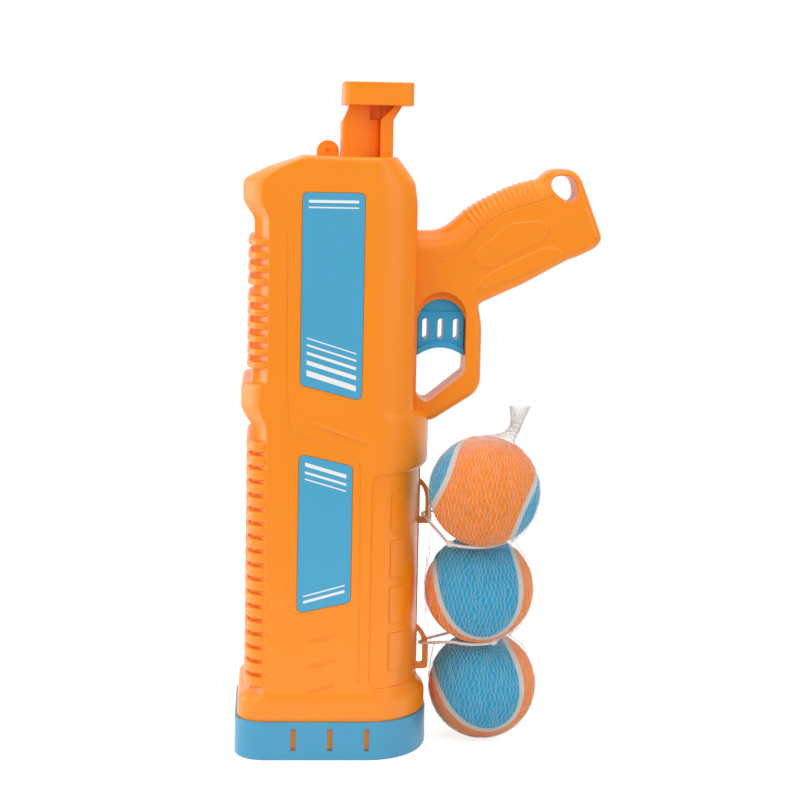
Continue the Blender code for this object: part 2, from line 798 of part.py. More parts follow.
def lanyard_rim_outline():
    """The solid place round the hole, open towards the back of the heel."""
    centre = grip_point(LANYARD_SHARES)
    radius = LANYARD_HOLE_R + LANYARD_RIM
    high = GRIP_ROOT_LOW + GRIP_RISE + OVERRUN
    sides = [(centre[0] + radius, high), (centre[0] - radius, high)]
    return arc(centre, radius, pi, 2 * pi, ARCH_STEPS) + sides


def side_solid(name, outline, half, edge, seam):
    """A side outline given the near half of its thickness, its outer edge rounded."""
    loops = []
    for step in range(EDGE_STEPS + 1):
        turn = step / EDGE_STEPS * pi / 2
        moved = edge * (1 - sin(turn))
        loops.append([(x, -half + edge * (1 - cos(turn)), z) for x, z in inset(outline, moved)])
    loops.append([(x, seam, z) for x, z in outline])
    return loft(name, loops)


def section_outline(sizes, seam):
    """A section's near half as an outline in X and Y."""
    return [(x, y) for x, y, z in plan_loop(sizes, 0.0, seam)]


def whole_outline(sizes):
    """A section's near and far half together, as an outline in X and Y."""
    near = section_outline(sizes, 0.0)[1:-1]
    return near + [(x, -y) for x, y in reversed(near)]


SEAM = -GAP / 2

# Each kind of piece runs past the seam by its own amount, so that no ends lie in one plane
SHELL_END = OVERRUN * 0.8
PAST_SEAM = OVERRUN * 0.6
BOSS_END = OVERRUN * 0.4
OUTSIDE = -(BODY_HALF_DEPTH + OVERRUN)
RETAINER_LOW = RING_FLOOR + GAP
BARREL_LOW = RETAINER_LOW + RETAINER_THICK + GAP
HEAD_LOW = CHAMBER_TOP + BUFFER_THICK + 2 * GAP
SPRING_LOW = HEAD_LOW + HEAD_FLOOR
SEAT_TOP = SEAT_LOW + SEAT_THICK
SEAT_WALL_TOP = SEAT_TOP + GAP + RIB_WALL
SEAR_NOSE_LOW = SEAT_WALL_TOP + SEAR_NOSE_CLEARANCE
LEDGE_LOW = SEAR_TAIL_LOW + SEAR_TAIL_THICK + SEAR_SPRING_LENGTH + 2 * GAP
TRIGGER_LEFT = GUARD_LEFT + 2 * PIN_CLEARANCE
TRIGGER_RIGHT = GUARD_RIGHT - 2 * PIN_CLEARANCE
TRIGGER_X = (GUARD_LEFT + GUARD_RIGHT) / 2
PACK_AXIS_X = LOWER_RIGHT + LOOP_REACH - LOOP_BAR / 2
NET_NECK_R = BALL_R * NET_NECK_SHARE
SCREW_HOLE_R = SCREW_R + PIN_CLEARANCE
SCREW_SINK_R = SCREW_HEAD_R + 2 * PIN_CLEARANCE


def body_ribs():
    """The ribs across the launcher's top."""
    outline = [
        (RIB_TIP + RIB_ROOT + OVERRUN, -RIB_HALF), (RIB_TIP + RIB_EDGE_SET, -RIB_HALF),
        (RIB_TIP, RIB_EDGE_SET - RIB_HALF), (RIB_TIP, PAST_SEAM), (RIB_TIP + RIB_ROOT + OVERRUN, PAST_SEAM),
    ]
    ribs = []
    for first, pitch, count in zip(RIB_STARTS, RIB_PITCHES, RIB_COUNTS):
        for index in range(count):
            middle = first + index * pitch
            ribs.append(slab("rib", outline, middle - RIB_HEIGHT / 2, middle + RIB_HEIGHT / 2))
    return group("ribs", ribs)


def strap_ribs():
    """The gripping ribs across the back of the grip."""
    start = Vector(grip_point(STRAP_START_SHARES))
    end = Vector(grip_point(STRAP_END_SHARES))
    along = (end - start).normalized()
    across = Vector((-along.y, along.x))
    length = (end - start).length
    ribs = []
    for index in range(STRAP_RIBS):
        share = index / (STRAP_RIBS - 1)
        bow = STRAP_BOW_SHARE * length * 4 * share * (1 - share)
        middle = start.lerp(end, share) + across * bow
        half = along * STRAP_RIB_LENGTH / 2
        rise = across * STRAP_RIB_RISE
        corners = [-half - 2 * rise, half - 2 * rise, half + rise, -half + rise]
        outline = [tuple(middle + corner) for corner in corners]
        ribs.append(plate("strap_rib", outline, -STRAP_RIB_HALF, BOSS_END))
    return group("strap_ribs", ribs)


def sling_loop(low):
    """One sling loop on the seam of the lower housing."""
    reach = LOWER_RIGHT + LOOP_REACH
    root = LOWER_RIGHT - LOOP_ROOT
    outer = [(root, low), (root, low + LOOP_HEIGHT)]
    outer += [(LOWER_RIGHT + LOOP_REACH * across, low + LOOP_HEIGHT * up) for across, up in LOOP_BEND_SHARES]
    outer.append((reach, low))
    gap_reach = LOOP_REACH - LOOP_BAR
    gap_height = LOOP_HEIGHT - 2 * LOOP_BAR
    hole = [
        (LOWER_RIGHT + GAP + (gap_reach - GAP) * across, low + LOOP_BAR + gap_height * up)
        for across, up in LOOP_BEND_SHARES
    ]
    hole += [(reach - LOOP_BAR, low + LOOP_BAR), (LOWER_RIGHT + GAP, low + LOOP_BAR)]
    loop = plate("loop", outer, -LOOP_HALF, PAST_SEAM)
    return cut(loop, plate("loop_hole", hole, -LOOP_HALF - OVERRUN, OVERRUN))


def lug():
    """The round lug on the rear end, with its dimple."""
    height = BODY_TOP + LUG_RISE
    foot = BODY_TOP - WALL / 2
    outline = arc((LUG_X, height), LUG_R, 0.0, pi, LUG_STEPS)
    outline += [(LUG_X - LUG_R, foot), (LUG_X + LUG_R, foot)]
    disc = plate("lug", outline, -LUG_HALF, PAST_SEAM)
    round_hole = arc((LUG_X, height), LUG_DIMPLE_R, 0.0, 2 * pi, LUG_STEPS)[:-1]
    return cut(disc, plate("dimple", round_hole, -LUG_HALF - OVERRUN, LUG_DIMPLE_DEPTH - LUG_HALF))


def handle_hollow():
    """The space inside the grip and the guard."""
    deep = GRIP_HALF - WALL
    hollow = plate("handle_hollow", inset(handle_outline(), WALL), -deep, OVERRUN)
    around_guard = plate("guard_rim", inset(guard_outline(0.0), -GUARD_RIM), -GRIP_HALF, 2 * OVERRUN)
    around_lanyard = plate("lanyard_rim", lanyard_rim_outline(), -GRIP_HALF, 2 * OVERRUN)
    return cut(hollow, around_guard, around_lanyard)


def trigger_way():
    """The space that the trigger and its ear slide in."""
    half = TRIGGER_HALF + RUNNING_GAP
    top = TRIGGER_TOP + HAND_PULL + RUNNING_GAP
    ear_low = TRIGGER_TOP - EAR_HEIGHT - RUNNING_GAP
    way_low = GUARD_ARCH_CENTRE - GUARD_WEB_SET
    way = box("trigger_way", (GUARD_LEFT, -half, way_low), (GUARD_RIGHT, half, top))
    ear = box(
        "ear_way", (TRIGGER_X, -half, ear_low), (TRIGGER_RIGHT + EAR_REACH + RUNNING_GAP, half, top)
    )
    return join(way, ear)


def window():
    """The sunk panel of the lower side, less its pads."""
    outline = rectangle(WINDOW_LEFT, WINDOW_LOW, LOWER_RIGHT + WINDOW_CORNER + OVERRUN, WINDOW_TOP)
    skin = plate("window", filleted(outline, WINDOW_CORNER), OUTSIDE, -WINDOW_SEAM_SET)
    inside = section_outline(shrunk(LOWER_PLAN, SKIN_CUT), OVERRUN)
    core = slab("core", inside, WINDOW_LOW - OVERRUN, WINDOW_TOP + OVERRUN)
    pads = []
    for index in range(WINDOW_PADS):
        low = PAD_LOW + index * PAD_PITCH
        outline = rectangle(PAD_LEFT, low, PAD_LEFT + PAD_WIDTH, low + PAD_HEIGHT)
        pads.append(plate("pad", outline, OUTSIDE - OVERRUN, 0.0))
    return cut(skin, core, group("pads", pads))


def upper_label_outline():
    """The panel on the upper side, with a slanting lower edge."""
    corners = [
        (LABEL_LEFT, UPPER_LABEL_LOW + UPPER_LABEL_SLANT), (UPPER_LABEL_RIGHT, UPPER_LABEL_LOW),
        (UPPER_LABEL_RIGHT, UPPER_LABEL_TOP), (LABEL_LEFT, UPPER_LABEL_TOP),
    ]
    return filleted(corners, LABEL_CORNER)


def lower_label_outline():
    """The panel on the lower side, with both ends slanting."""
    corners = [
        (LABEL_LEFT, LOWER_LABEL_LOW), (LOWER_LABEL_RIGHT, LOWER_LABEL_LOW + LOWER_LABEL_LOW_SLANT),
        (LOWER_LABEL_RIGHT, LOWER_LABEL_TOP - LOWER_LABEL_TOP_SLANT), (LABEL_LEFT, LOWER_LABEL_TOP),
    ]
    return filleted(corners, LABEL_CORNER)


def face_cuts():
    """The label pockets and the three slanting marks."""
    cuts = []
    for outline in (upper_label_outline(), lower_label_outline()):
        cuts.append(plate("pocket", inset(outline, -GAP), OUTSIDE, LABEL_SUNK - BODY_HALF_DEPTH))
    for index in range(MARKS):
        low = MARK_LOW + index * MARK_PITCH
        right = MARK_LEFT + MARK_LENGTH
        outline = [
            (MARK_LEFT, low), (right, low + MARK_RISE), (right, low + MARK_RISE + MARK_THICK),
            (MARK_LEFT, low + MARK_THICK),
        ]
        cuts.append(plate("mark", outline, OUTSIDE, MARK_DEPTH - BODY_HALF_DEPTH))
    return group("face_cuts", cuts)


def bulkhead(sizes, low, radius):
    """A wall across the inside of the near half, with half of a round hole."""
    outline = section_outline(shrunk(sizes, WALL / 2), PAST_SEAM)
    high = low + RIB_WALL
    wall = slab("bulkhead", outline, low, high)
    ends = (BORE_X, 0.0, low - OVERRUN), (BORE_X, 0.0, high + OVERRUN)
    return cut(wall, cylinder("bulkhead_hole", radius, *ends, ROUND_STEPS))


def stem_way():
    """The opening that the handle's stem slides in."""
    low = STEM_GUIDE_LOW - OVERRUN
    high = BODY_TOP + OVERRUN
    web = box(
        "stem_way", (STEM_LEFT - RUNNING_GAP, -STEM_WEB_HALF - RUNNING_GAP, low),
        (STEM_RIB_LEFT + RUNNING_GAP, OVERRUN, high),
    )
    rib = box(
        "rib_way", (STEM_RIB_LEFT - RUNNING_GAP, -STEM_RIB_HALF - RUNNING_GAP, low - OVERRUN),
        (STEM_RIB_RIGHT + RUNNING_GAP, 2 * OVERRUN, high + OVERRUN),
    )
    return join(web, rib)


def pin_boss():
    """The boss for one end of the lever's pivot, kept within the curved wall."""
    boss = cylinder(
        "pin_boss", SEAR_BOSS_R, (SEAR_X, -BODY_HALF_DEPTH, SEAR_Z), (SEAR_X, -SEAR_HALF - GAP, SEAR_Z)
    )
    outline = section_outline(shrunk(UPPER_PLAN, WALL / 2), PAST_SEAM)
    inside = slab("inside_wall", outline, SEAR_Z - 2 * SEAR_BOSS_R, SEAR_Z + 2 * SEAR_BOSS_R)
    return combine(boss, inside, "INTERSECT")


def screw_places():
    """Where the screws go, in X and Z, with the inner wall's depth there."""
    places = [
        (BODY_SCREW_X, BODY_SCREW_FIRST + index * BODY_SCREW_PITCH, BODY_HALF_DEPTH - WALL / 2)
        for index in range(BODY_SCREWS)
    ]
    for shares in GRIP_SCREW_SHARES:
        places.append((*grip_point(shares), GRIP_HALF - WALL / 2))
    return places


def near_half():
    """The near half of the housing, before its screw holes."""
    levels = [plan_loop(sizes, height, SHELL_END) for height, sizes in outer_sections()]
    shell = loft("left_housing_half", levels)
    join(
        shell,
        side_solid("handle", handle_outline(), GRIP_HALF, GRIP_EDGE, PAST_SEAM),
        body_ribs(),
        strap_ribs(),
        group("loops", [sling_loop(UPPER_LOOP_LOW), sling_loop(LOWER_LOOP_LOW)]),
        lug(),
    )
    hollow = loft("hollow", [plan_loop(sizes, height, OVERRUN) for height, sizes in inner_sections()])
    beyond = -GRIP_HALF - OVERRUN
    pocket_floor = GUARD_WEB_DEPTH - GRIP_HALF
    cut(
        shell,
        hollow,
        handle_hollow(),
        plate("guard_way", guard_outline(GUARD_WEB_SET), beyond, OVERRUN),
        plate("guard_pocket", guard_outline(0.0), beyond, pocket_floor),
        plate("lanyard_way", lanyard_outline(), beyond, OVERRUN),
        trigger_way(),
        window(),
        face_cuts(),
    )
    stop = BARREL_TOP + GAP
    for index in range(BULKHEADS):
        join(shell, bulkhead(LOWER_PLAN, BULKHEAD_FIRST + index * BULKHEAD_PITCH, BARREL_R + GAP))
    join(
        shell,
        bulkhead(LOWER_PLAN, stop, BARREL_STOP_R),
        bulkhead(UPPER_PLAN, SEAT_TOP + GAP, SEAT_BUSH_R + GAP),
        bulkhead(UPPER_PLAN, STEM_GUIDE_LOW, ROD_R),
    )
    bosses = []
    for x, z, deep in screw_places():
        bosses.append(cylinder("boss", BOSS_R, (x, -deep, z), (x, BOSS_END, z)))
    bosses.append(pin_boss())
    bosses.append(box(
        "ledge", (SEAR_SPRING_X - SPRING_LEDGE_HALF, WALL / 2 - GRIP_HALF, LEDGE_LOW),
        (SEAR_SPRING_X + SPRING_LEDGE_HALF, BOSS_END, LEDGE_LOW + SPRING_LEDGE_THICK),
    ))
    join(shell, *bosses)
    pin_way = cylinder(
        "pin_way", SEAR_PIN_R + PIN_CLEARANCE, (SEAR_X, -SEAR_PIN_HALF - PIN_CLEARANCE, SEAR_Z),
        (SEAR_X, OVERRUN, SEAR_Z),
    )
    far_side = box(
        "far_side", (RING_LEFT - OVERRUN, SEAM, -OVERRUN),
        (UPPER_RIGHT + GRIP_REACH + OVERRUN, OVERRUN, BAR_LOW),
    )
    return cut(shell, stem_way(), pin_way, far_side)


def tidied(item):
    """An object with its flat faces made of as few triangles as they need."""
    bm = bmesh.new()
    bm.from_mesh(item.data)
    bmesh.ops.remove_doubles(bm, verts=bm.verts, dist=MERGE)
    bmesh.ops.dissolve_limit(bm, angle_limit=FLAT_ANGLE, verts=bm.verts, edges=bm.edges)
    name = item.name
    bpy.data.objects.remove(item)
    return from_bmesh(name, bm)


def mirrored(item, name):
    """A copy of an object on the other side of the seam."""
    mesh = item.data.copy()
    mesh.transform(Matrix.Scale(-1.0, 4, (0.0, 1.0, 0.0)))
    bm = bmesh.new()
    bm.from_mesh(mesh)
    return from_bmesh(name, bm)


def housing_halves():
    """Both halves: pilot holes in the left one, sunk clearance holes in the right one."""
    left = near_half()
    right = mirrored(left, "right_housing_half")
    pilots = []
    holes = []
    for x, z, _ in screw_places():
        tip = SCREW_SEAT - SCREW_LENGTH - RUNNING_GAP
        pilots.append(cylinder("pilot", SCREW_HOLE_R, (x, tip, z), (x, OVERRUN, z)))
        hole = cylinder("hole", SCREW_HOLE_R, (x, -OVERRUN, z), (x, SCREW_SEAT + OVERRUN, z))
        sink = cylinder("sink", SCREW_SINK_R, (x, SCREW_SEAT - GAP, z), (x, -OUTSIDE, z))
        holes.append(join(hole, sink))
    cut(left, group("pilots", pilots))
    cut(right, group("holes", holes))
    return tidied(left), tidied(right)


def muzzle_ring():
    """The band round the muzzle, with its floor plate and slots."""
    levels = [
        (0.0, RING_EDGE), (RING_EDGE, 0.0), (RING_HEIGHT - RING_EDGE / 2, 0.0), (RING_HEIGHT, RING_EDGE / 2),
    ]
    loops = [[(x, y, z) for x, y in whole_outline(ring_plan(moved))] for z, moved in levels]
    ring = loft("muzzle_ring", loops)
    hollow = slab("ring_hollow", whole_outline(ring_plan(RING_WALL)), RING_FLOOR, RING_HEIGHT + OVERRUN)
    ends = (BORE_X, 0.0, -OVERRUN), (BORE_X, 0.0, RING_FLOOR + OVERRUN)
    mouth = cylinder("mouth", BORE_R, *ends, ROUND_STEPS)
    slots = []
    for index in range(RING_SLOTS):
        middle = RING_SLOT_FIRST + index * RING_SLOT_PITCH
        for side in (-1, 1):
            outside = side * (RING_HALF_DEPTH + OVERRUN)
            inside = side * (RING_HALF_DEPTH - RING_WALL - GAP)
            slots.append(box(
                "slot", (middle - RING_SLOT_WIDTH / 2, min(outside, inside), RING_SLOT_LOW),
                (middle + RING_SLOT_WIDTH / 2, max(outside, inside), RING_SLOT_LOW + RING_SLOT_HEIGHT),
            ))
    return cut(ring, hollow, mouth, group("slots", slots))


BORE_PLACE = Matrix.Translation((BORE_X, 0.0, 0.0))


def ball_retainer():
    """The soft ring behind the muzzle, whose fingers hold a ball in."""
    high = RETAINER_LOW + RETAINER_THICK
    ends = (BORE_X, 0.0, RETAINER_LOW), (BORE_X, 0.0, high)
    disc = cylinder("ball_retainer", BARREL_R, *ends, ROUND_STEPS)
    inside = []
    for finger in range(RETAINER_FINGERS):
        for share, out in FINGER_SHARES:
            angle = (finger + share) * 2 * pi / RETAINER_FINGERS
            reach = fraction(BALL_R - RETAINER_BITE, BORE_R, out)
            inside.append((BORE_X + reach * cos(angle), reach * sin(angle)))
    return cut(disc, slab("fingers", inside, RETAINER_LOW - OVERRUN, high + OVERRUN))


def barrel_tube():
    """The smooth tube that the ball and the plunger run in."""
    profile = [
        (BARREL_R, BARREL_TOP), (BARREL_R, BARREL_LOW), (BORE_R, BARREL_LOW), (BORE_R, BARREL_TOP),
    ]
    return turned("barrel_tube", profile, BORE_PLACE)


def plunger_parts():
    """The head with its buffer, seal and screw, and the rod with its catch groove."""
    head_r = BORE_R - HEAD_CLEARANCE
    top = HEAD_LOW + HEAD_HEIGHT
    groove_low = HEAD_LOW + SEAL_LIFT
    groove_high = groove_low + SEAL_HEIGHT
    groove_r = head_r - SEAL_DEPTH
    socket_r = ROD_R + PIN_CLEARANCE
    sink_top = HEAD_LOW + SCREW_HEAD + 2 * GAP
    profile = [
        (head_r, top), (head_r, groove_high), (groove_r, groove_high), (groove_r, groove_low),
        (head_r, groove_low), (head_r, HEAD_LOW), (SCREW_SINK_R, HEAD_LOW), (SCREW_SINK_R, sink_top),
        (SCREW_HOLE_R, sink_top), (SCREW_HOLE_R, SPRING_LOW), (socket_r, SPRING_LOW),
        (socket_r, top + HUB_RISE), (HUB_R, top + HUB_RISE), (HUB_R, SPRING_LOW),
        (head_r - HEAD_WALL, SPRING_LOW), (head_r - HEAD_WALL, top),
    ]
    head = turned("plunger_head", profile, BORE_PLACE)
    seal_r = BORE_R - SEAL_CLEARANCE
    profile = [
        (seal_r, groove_high - GAP), (seal_r, groove_low + GAP), (groove_r + GAP, groove_low + GAP),
        (groove_r + GAP, groove_high - GAP),
    ]
    seal = turned("plunger_seal", profile, BORE_PLACE)
    low = CHAMBER_TOP + GAP
    profile = [(0.0, low + BUFFER_THICK), (BUFFER_R, low + BUFFER_THICK), (BUFFER_R, low), (0.0, low)]
    buffer = turned("plunger_buffer", profile, BORE_PLACE)
    tip = HEAD_LOW + GAP + SCREW_HEAD + SCREW_LENGTH
    upside_down = Matrix.Translation((BORE_X, 0.0, tip)) @ Matrix.Rotation(pi, 4, "X")
    screw = screw_solid("plunger_screw", upside_down)
    middle = SEAR_NOSE_LOW + SEAR_NOSE_THICK / 2 - STROKE
    catch_low = middle - GROOVE_LENGTH / 2
    catch_high = middle + GROOVE_LENGTH / 2
    rod_low = SPRING_LOW + GAP
    rod_top = STEM_FOOT + ROD_SOCKET_DEPTH - GAP
    hole_top = tip + RUNNING_GAP
    profile = [
        (0.0, rod_top), (ROD_R, rod_top), (ROD_R, catch_high), (GROOVE_R, catch_high),
        (GROOVE_R, catch_low), (ROD_R, catch_low), (ROD_R, rod_low), (SCREW_HOLE_R, rod_low),
        (SCREW_HOLE_R, hole_top), (0.0, hole_top),
    ]
    rod = turned("plunger_rod", profile, BORE_PLACE, SMALL_STEPS)
    cut(rod, cross_hole())
    return [head, seal, buffer, screw, rod, rod_pin()]


def cross_hole():
    """The hole for the pin through the stem and the rod."""
    z = STEM_FOOT + ROD_PIN_RISE
    reach = STEM_WEB_HALF + OVERRUN
    return cylinder("cross_hole", ROD_PIN_R + PIN_CLEARANCE, (BORE_X, -reach, z), (BORE_X, reach, z))


def rod_pin():
    """The pin that joins the rod to the stem."""
    z = STEM_FOOT + ROD_PIN_RISE
    reach = STEM_WEB_HALF - RUNNING_GAP
    return cylinder("rod_pin", ROD_PIN_R, (BORE_X, -reach, z), (BORE_X, reach, z))


def screw_solid(name, place):
    """A screw along its own Z, with its tip at the start."""
    top = SCREW_LENGTH + SCREW_HEAD
    profile = [
        (0.0, top), (SCREW_HEAD_R, top), (SCREW_HEAD_R, SCREW_LENGTH), (SCREW_R, SCREW_LENGTH),
        (SCREW_R, SCREW_R), (0.0, 0.0),
    ]
    return turned(name, profile, place, SMALL_STEPS)


def housing_screws():
    """The screws that close the housing, put in from the right side."""
    turn = Matrix.Rotation(-pi / 2, 4, "X")
    tip = SCREW_SEAT - SCREW_LENGTH
    return [
        screw_solid(f"housing_screw_{index}", Matrix.Translation((x, tip, z)) @ turn)
        for index, (x, z, _) in enumerate(screw_places(), start=1)
    ]


def spring_seat():
    """The plate that the main spring pushes against, with the rod's bush."""
    profile = [
        (SEAT_R, SEAT_TOP), (SEAT_R, SEAT_LOW), (ROD_R + RUNNING_GAP, SEAT_LOW),
        (ROD_R + RUNNING_GAP, SEAT_WALL_TOP), (SEAT_BUSH_R, SEAT_WALL_TOP), (SEAT_BUSH_R, SEAT_TOP),
    ]
    return turned("spring_seat", profile, BORE_PLACE)


def cocking_handle():
    """The pull: a channelled stem with a rib along its grip side, and the cross bar."""
    into_bar = BAR_LOW + GUSSET_REACH
    web = [
        (STEM_LEFT, STEM_FOOT), (STEM_RIB_LEFT, STEM_FOOT), (STEM_RIB_LEFT, into_bar),
        (STEM_LEFT + STEM_NECK_SET, into_bar), (STEM_LEFT + STEM_NECK_SET, BAR_LOW),
        (STEM_LEFT, BAR_LOW - STEM_NECK),
    ]
    rib = [
        (STEM_RIB_LEFT - STEP, STEM_FOOT), (STEM_RIB_RIGHT, STEM_FOOT),
        (STEM_RIB_RIGHT, BAR_LOW - GUSSET_RISE), (STEM_RIB_RIGHT + GUSSET_REACH, BAR_LOW),
        (STEM_RIB_RIGHT + GUSSET_REACH, into_bar),
        (STEM_RIB_LEFT - STEP, into_bar),
    ]
    bar_top = BAR_LOW + BAR_HEIGHT
    bar = softened(
        box("bar", (BAR_LEFT, -BAR_HALF, BAR_LOW), (BAR_RIGHT, BAR_HALF, bar_top)), BAR_EDGE
    )
    handle = plate("cocking_handle", web, -STEM_WEB_HALF, STEM_WEB_HALF)
    join(handle, plate("stem_rib", rib, -STEM_RIB_HALF, STEM_RIB_HALF), bar)
    socket = cylinder(
        "socket", ROD_R + PIN_CLEARANCE, (BORE_X, 0.0, STEM_FOOT - OVERRUN),
        (BORE_X, 0.0, STEM_FOOT + ROD_SOCKET_DEPTH),
    )
    return cut(handle, socket, cross_hole())


def sear_lever():
    """The lever that hangs from its pivot: a nose for the rod's groove and a tail over the trigger."""
    tip = BORE_X + ROD_R + GAP
    left = SEAR_X - SEAR_ARM / 2
    right = SEAR_X + SEAR_ARM / 2
    nose_top = SEAR_NOSE_LOW + SEAR_NOSE_THICK
    tail_top = SEAR_TAIL_LOW + SEAR_TAIL_THICK
    outline = [(tip, SEAR_NOSE_LOW), (left + SEAR_FOOT_WIDTH, SEAR_NOSE_LOW)]
    outline += arc((SEAR_X, SEAR_Z), SEAR_BOSS_R, -pi / 4, 0.0, 2)
    outline += [
        (SEAR_TAIL_BEND, SEAR_TAIL_LOW), (SEAR_X + SEAR_TAIL_REACH, SEAR_TAIL_LOW),
        (SEAR_X + SEAR_TAIL_REACH, tail_top), (right, tail_top),
    ]
    outline += arc((SEAR_X, SEAR_Z), SEAR_BOSS_R, pi, pi + pi / 4, 2)
    outline += [(left, nose_top), (tip, nose_top)]
    lever = plate("sear_lever", outline, -SEAR_HALF, SEAR_HALF)
    hole = cylinder(
        "sear_hole", SEAR_PIN_R + PIN_CLEARANCE, (SEAR_X, -SEAR_HALF - OVERRUN, SEAR_Z),
        (SEAR_X, SEAR_HALF + OVERRUN, SEAR_Z),
    )
    return cut(lever, hole)


def sear_pin():
    """The lever's pivot."""
    ends = (SEAR_X, -SEAR_PIN_HALF, SEAR_Z), (SEAR_X, SEAR_PIN_HALF, SEAR_Z)
    return cylinder("sear_pin", SEAR_PIN_R, *ends)


def trigger():
    """The finger slide with its curved rim, slots, ear and tongue."""
    low_edge = []
    for step in range(ARCH_STEPS + 1):
        share = step / ARCH_STEPS
        bow = TRIGGER_BOW * 4 * share * (1 - share)
        low_edge.append((fraction(TRIGGER_LEFT, TRIGGER_RIGHT, share), TRIGGER_LOW + bow))
    block = low_edge + [(TRIGGER_RIGHT, TRIGGER_TOP), (TRIGGER_LEFT, TRIGGER_TOP)]
    rim = low_edge + [(x, z + TRIGGER_RIM) for x, z in reversed(low_edge)]
    body = plate("trigger", block, -TRIGGER_HALF, TRIGGER_HALF)
    ear = box(
        "ear", (TRIGGER_X, -TRIGGER_HALF, TRIGGER_TOP - EAR_HEIGHT),
        (TRIGGER_RIGHT + EAR_REACH, TRIGGER_HALF, TRIGGER_TOP),
    )
    tongue_top = SEAR_TAIL_LOW - GAP - TONGUE_WIDTH / 2
    tongue = [(TONGUE_X - TONGUE_WIDTH / 2, TRIGGER_TOP - EAR_HEIGHT / 2)]
    tongue += [(TONGUE_X + TONGUE_WIDTH / 2, TRIGGER_TOP - EAR_HEIGHT / 2)]
    tongue += arc((TONGUE_X, tongue_top), TONGUE_WIDTH / 2, 0.0, pi, ARCH_STEPS)
    join(
        body, plate("rim", rim, -TRIGGER_RIM_HALF, TRIGGER_RIM_HALF), ear,
        plate("tongue", tongue, -TONGUE_HALF, TONGUE_HALF),
    )
    slots = []
    for index in range(TRIGGER_SLOTS):
        middle = TRIGGER_X + (index - (TRIGGER_SLOTS - 1) / 2) * TRIGGER_SLOT_PITCH
        left = middle - TRIGGER_SLOT_WIDTH / 2
        deep = TRIGGER_HALF + OVERRUN
        high = TRIGGER_SLOT_LOW + TRIGGER_SLOT_HEIGHT
        slots.append(box(
            "trigger_slot", (left, -deep, TRIGGER_SLOT_LOW), (left + TRIGGER_SLOT_WIDTH, deep, high)
        ))
    return cut(body, group("trigger_slots", slots))


def labels():
    """The panels on both sides."""
    outer = LABEL_SUNK - BODY_HALF_DEPTH - GAP
    made = []
    for name, outline in (("upper_label", upper_label_outline()), ("lower_label", lower_label_outline())):
        left = plate(name + "_left", outline, outer - LABEL_THICK, outer)
        made += [left, mirrored(left, name + "_right")]
    return made


def ball_centres():
    """The three balls' centres, each resting against the one below."""
    spread = 2 * BALL_R + BALL_SPACE
    beside = LOWER_RIGHT + LOOP_REACH + NET_GAP + NET_SAG + NET_WALL + BALL_R
    places = [(beside + BALL_R * across, BALL_R * along) for across, along in BALL_SHIFT_SHARES]
    centres = [(*places[0], BALL_R + NET_GAP + NET_WALL + GAP)]
    for x, y in places[1:]:
        below = centres[-1]
        centres.append((x, y, below[2] + sqrt(spread ** 2 - hypot(x - below[0], y - below[1]) ** 2)))
    return centres


def balls():
    """The three balls."""
    made = []
    for index, centre in enumerate(ball_centres(), start=1):
        bm = bmesh.new()
        place = Matrix.Translation(centre)
        bmesh.ops.create_uvsphere(
            bm, u_segments=BALL_STEPS, v_segments=BALL_RINGS, radius=BALL_R, matrix=place
        )
        made.append(from_bmesh(f"tennis_ball_{index}", bm))
    return made


def necks():
    """The centre of each drawn-in place of the net, between two balls."""
    centres = ball_centres()
    places = []
    for low, high, share in zip(centres, centres[1:], NET_NECK_SHIFT_SHARES):
        x, y, z = [(start + end) / 2 for start, end in zip(low, high)]
        places.append((x + BALL_R * share, y, z))
    return places


def net_reach(share):
    """How far the net stands from a ball's upright line, at a share of its radius above its centre."""
    return (BALL_R * sqrt(1 - share ** 2) + NET_GAP + NET_SAG) / cos(pi / NET_SIDES)


def net_sleeve():
    """The net drawn over the balls, closed below and gathered to an open tail above."""
    centres = ball_centres()
    x, y, z = centres[0]
    rings = [
        (x, y, z - BALL_R - NET_GAP, NET_FOOT_R),
        (x, y, z - BALL_R * NET_CAP_SHARE, net_reach(NET_CAP_SHARE)),
    ]
    for index, (x, y, z) in enumerate(centres):
        rings += [(x, y, z + BALL_R * share, net_reach(share)) for share in NET_RISE_SHARES]
        if index < len(centres) - 1:
            rings.append((*necks()[index], NET_NECK_R))
    rings.append((x, y, z + BALL_R * NET_CAP_SHARE, net_reach(NET_CAP_SHARE)))
    rings.append((x, y, z + BALL_R * NET_POLE_SHARE + NET_GAP, net_reach(NET_POLE_SHARE)))
    tail_low = z + BALL_R + NET_TAIL_LIFT
    rings += [
        (x + NET_TAIL_X, y, tail_low, NET_TAIL_R),
        (x + NET_TAIL_X, y, tail_low + NET_TAIL_NECK, NET_TAIL_R),
        (x + NET_FAN_X, y, tail_low + NET_FAN_RISE, NET_FAN_R),
    ]
    outer = [(x, y, z, radius + NET_WALL) for x, y, z, radius in rings]
    x, y, z, radius = outer[0]
    outer[0] = (x, y, z - NET_WALL, radius)
    loops = []
    for x, y, z, radius in outer + rings[::-1]:
        angles = [2 * pi * side / NET_SIDES for side in range(NET_SIDES)]
        loops.append([(x + radius * cos(angle), y + radius * sin(angle), z) for angle in angles])
    return loft("net_sleeve", loops)


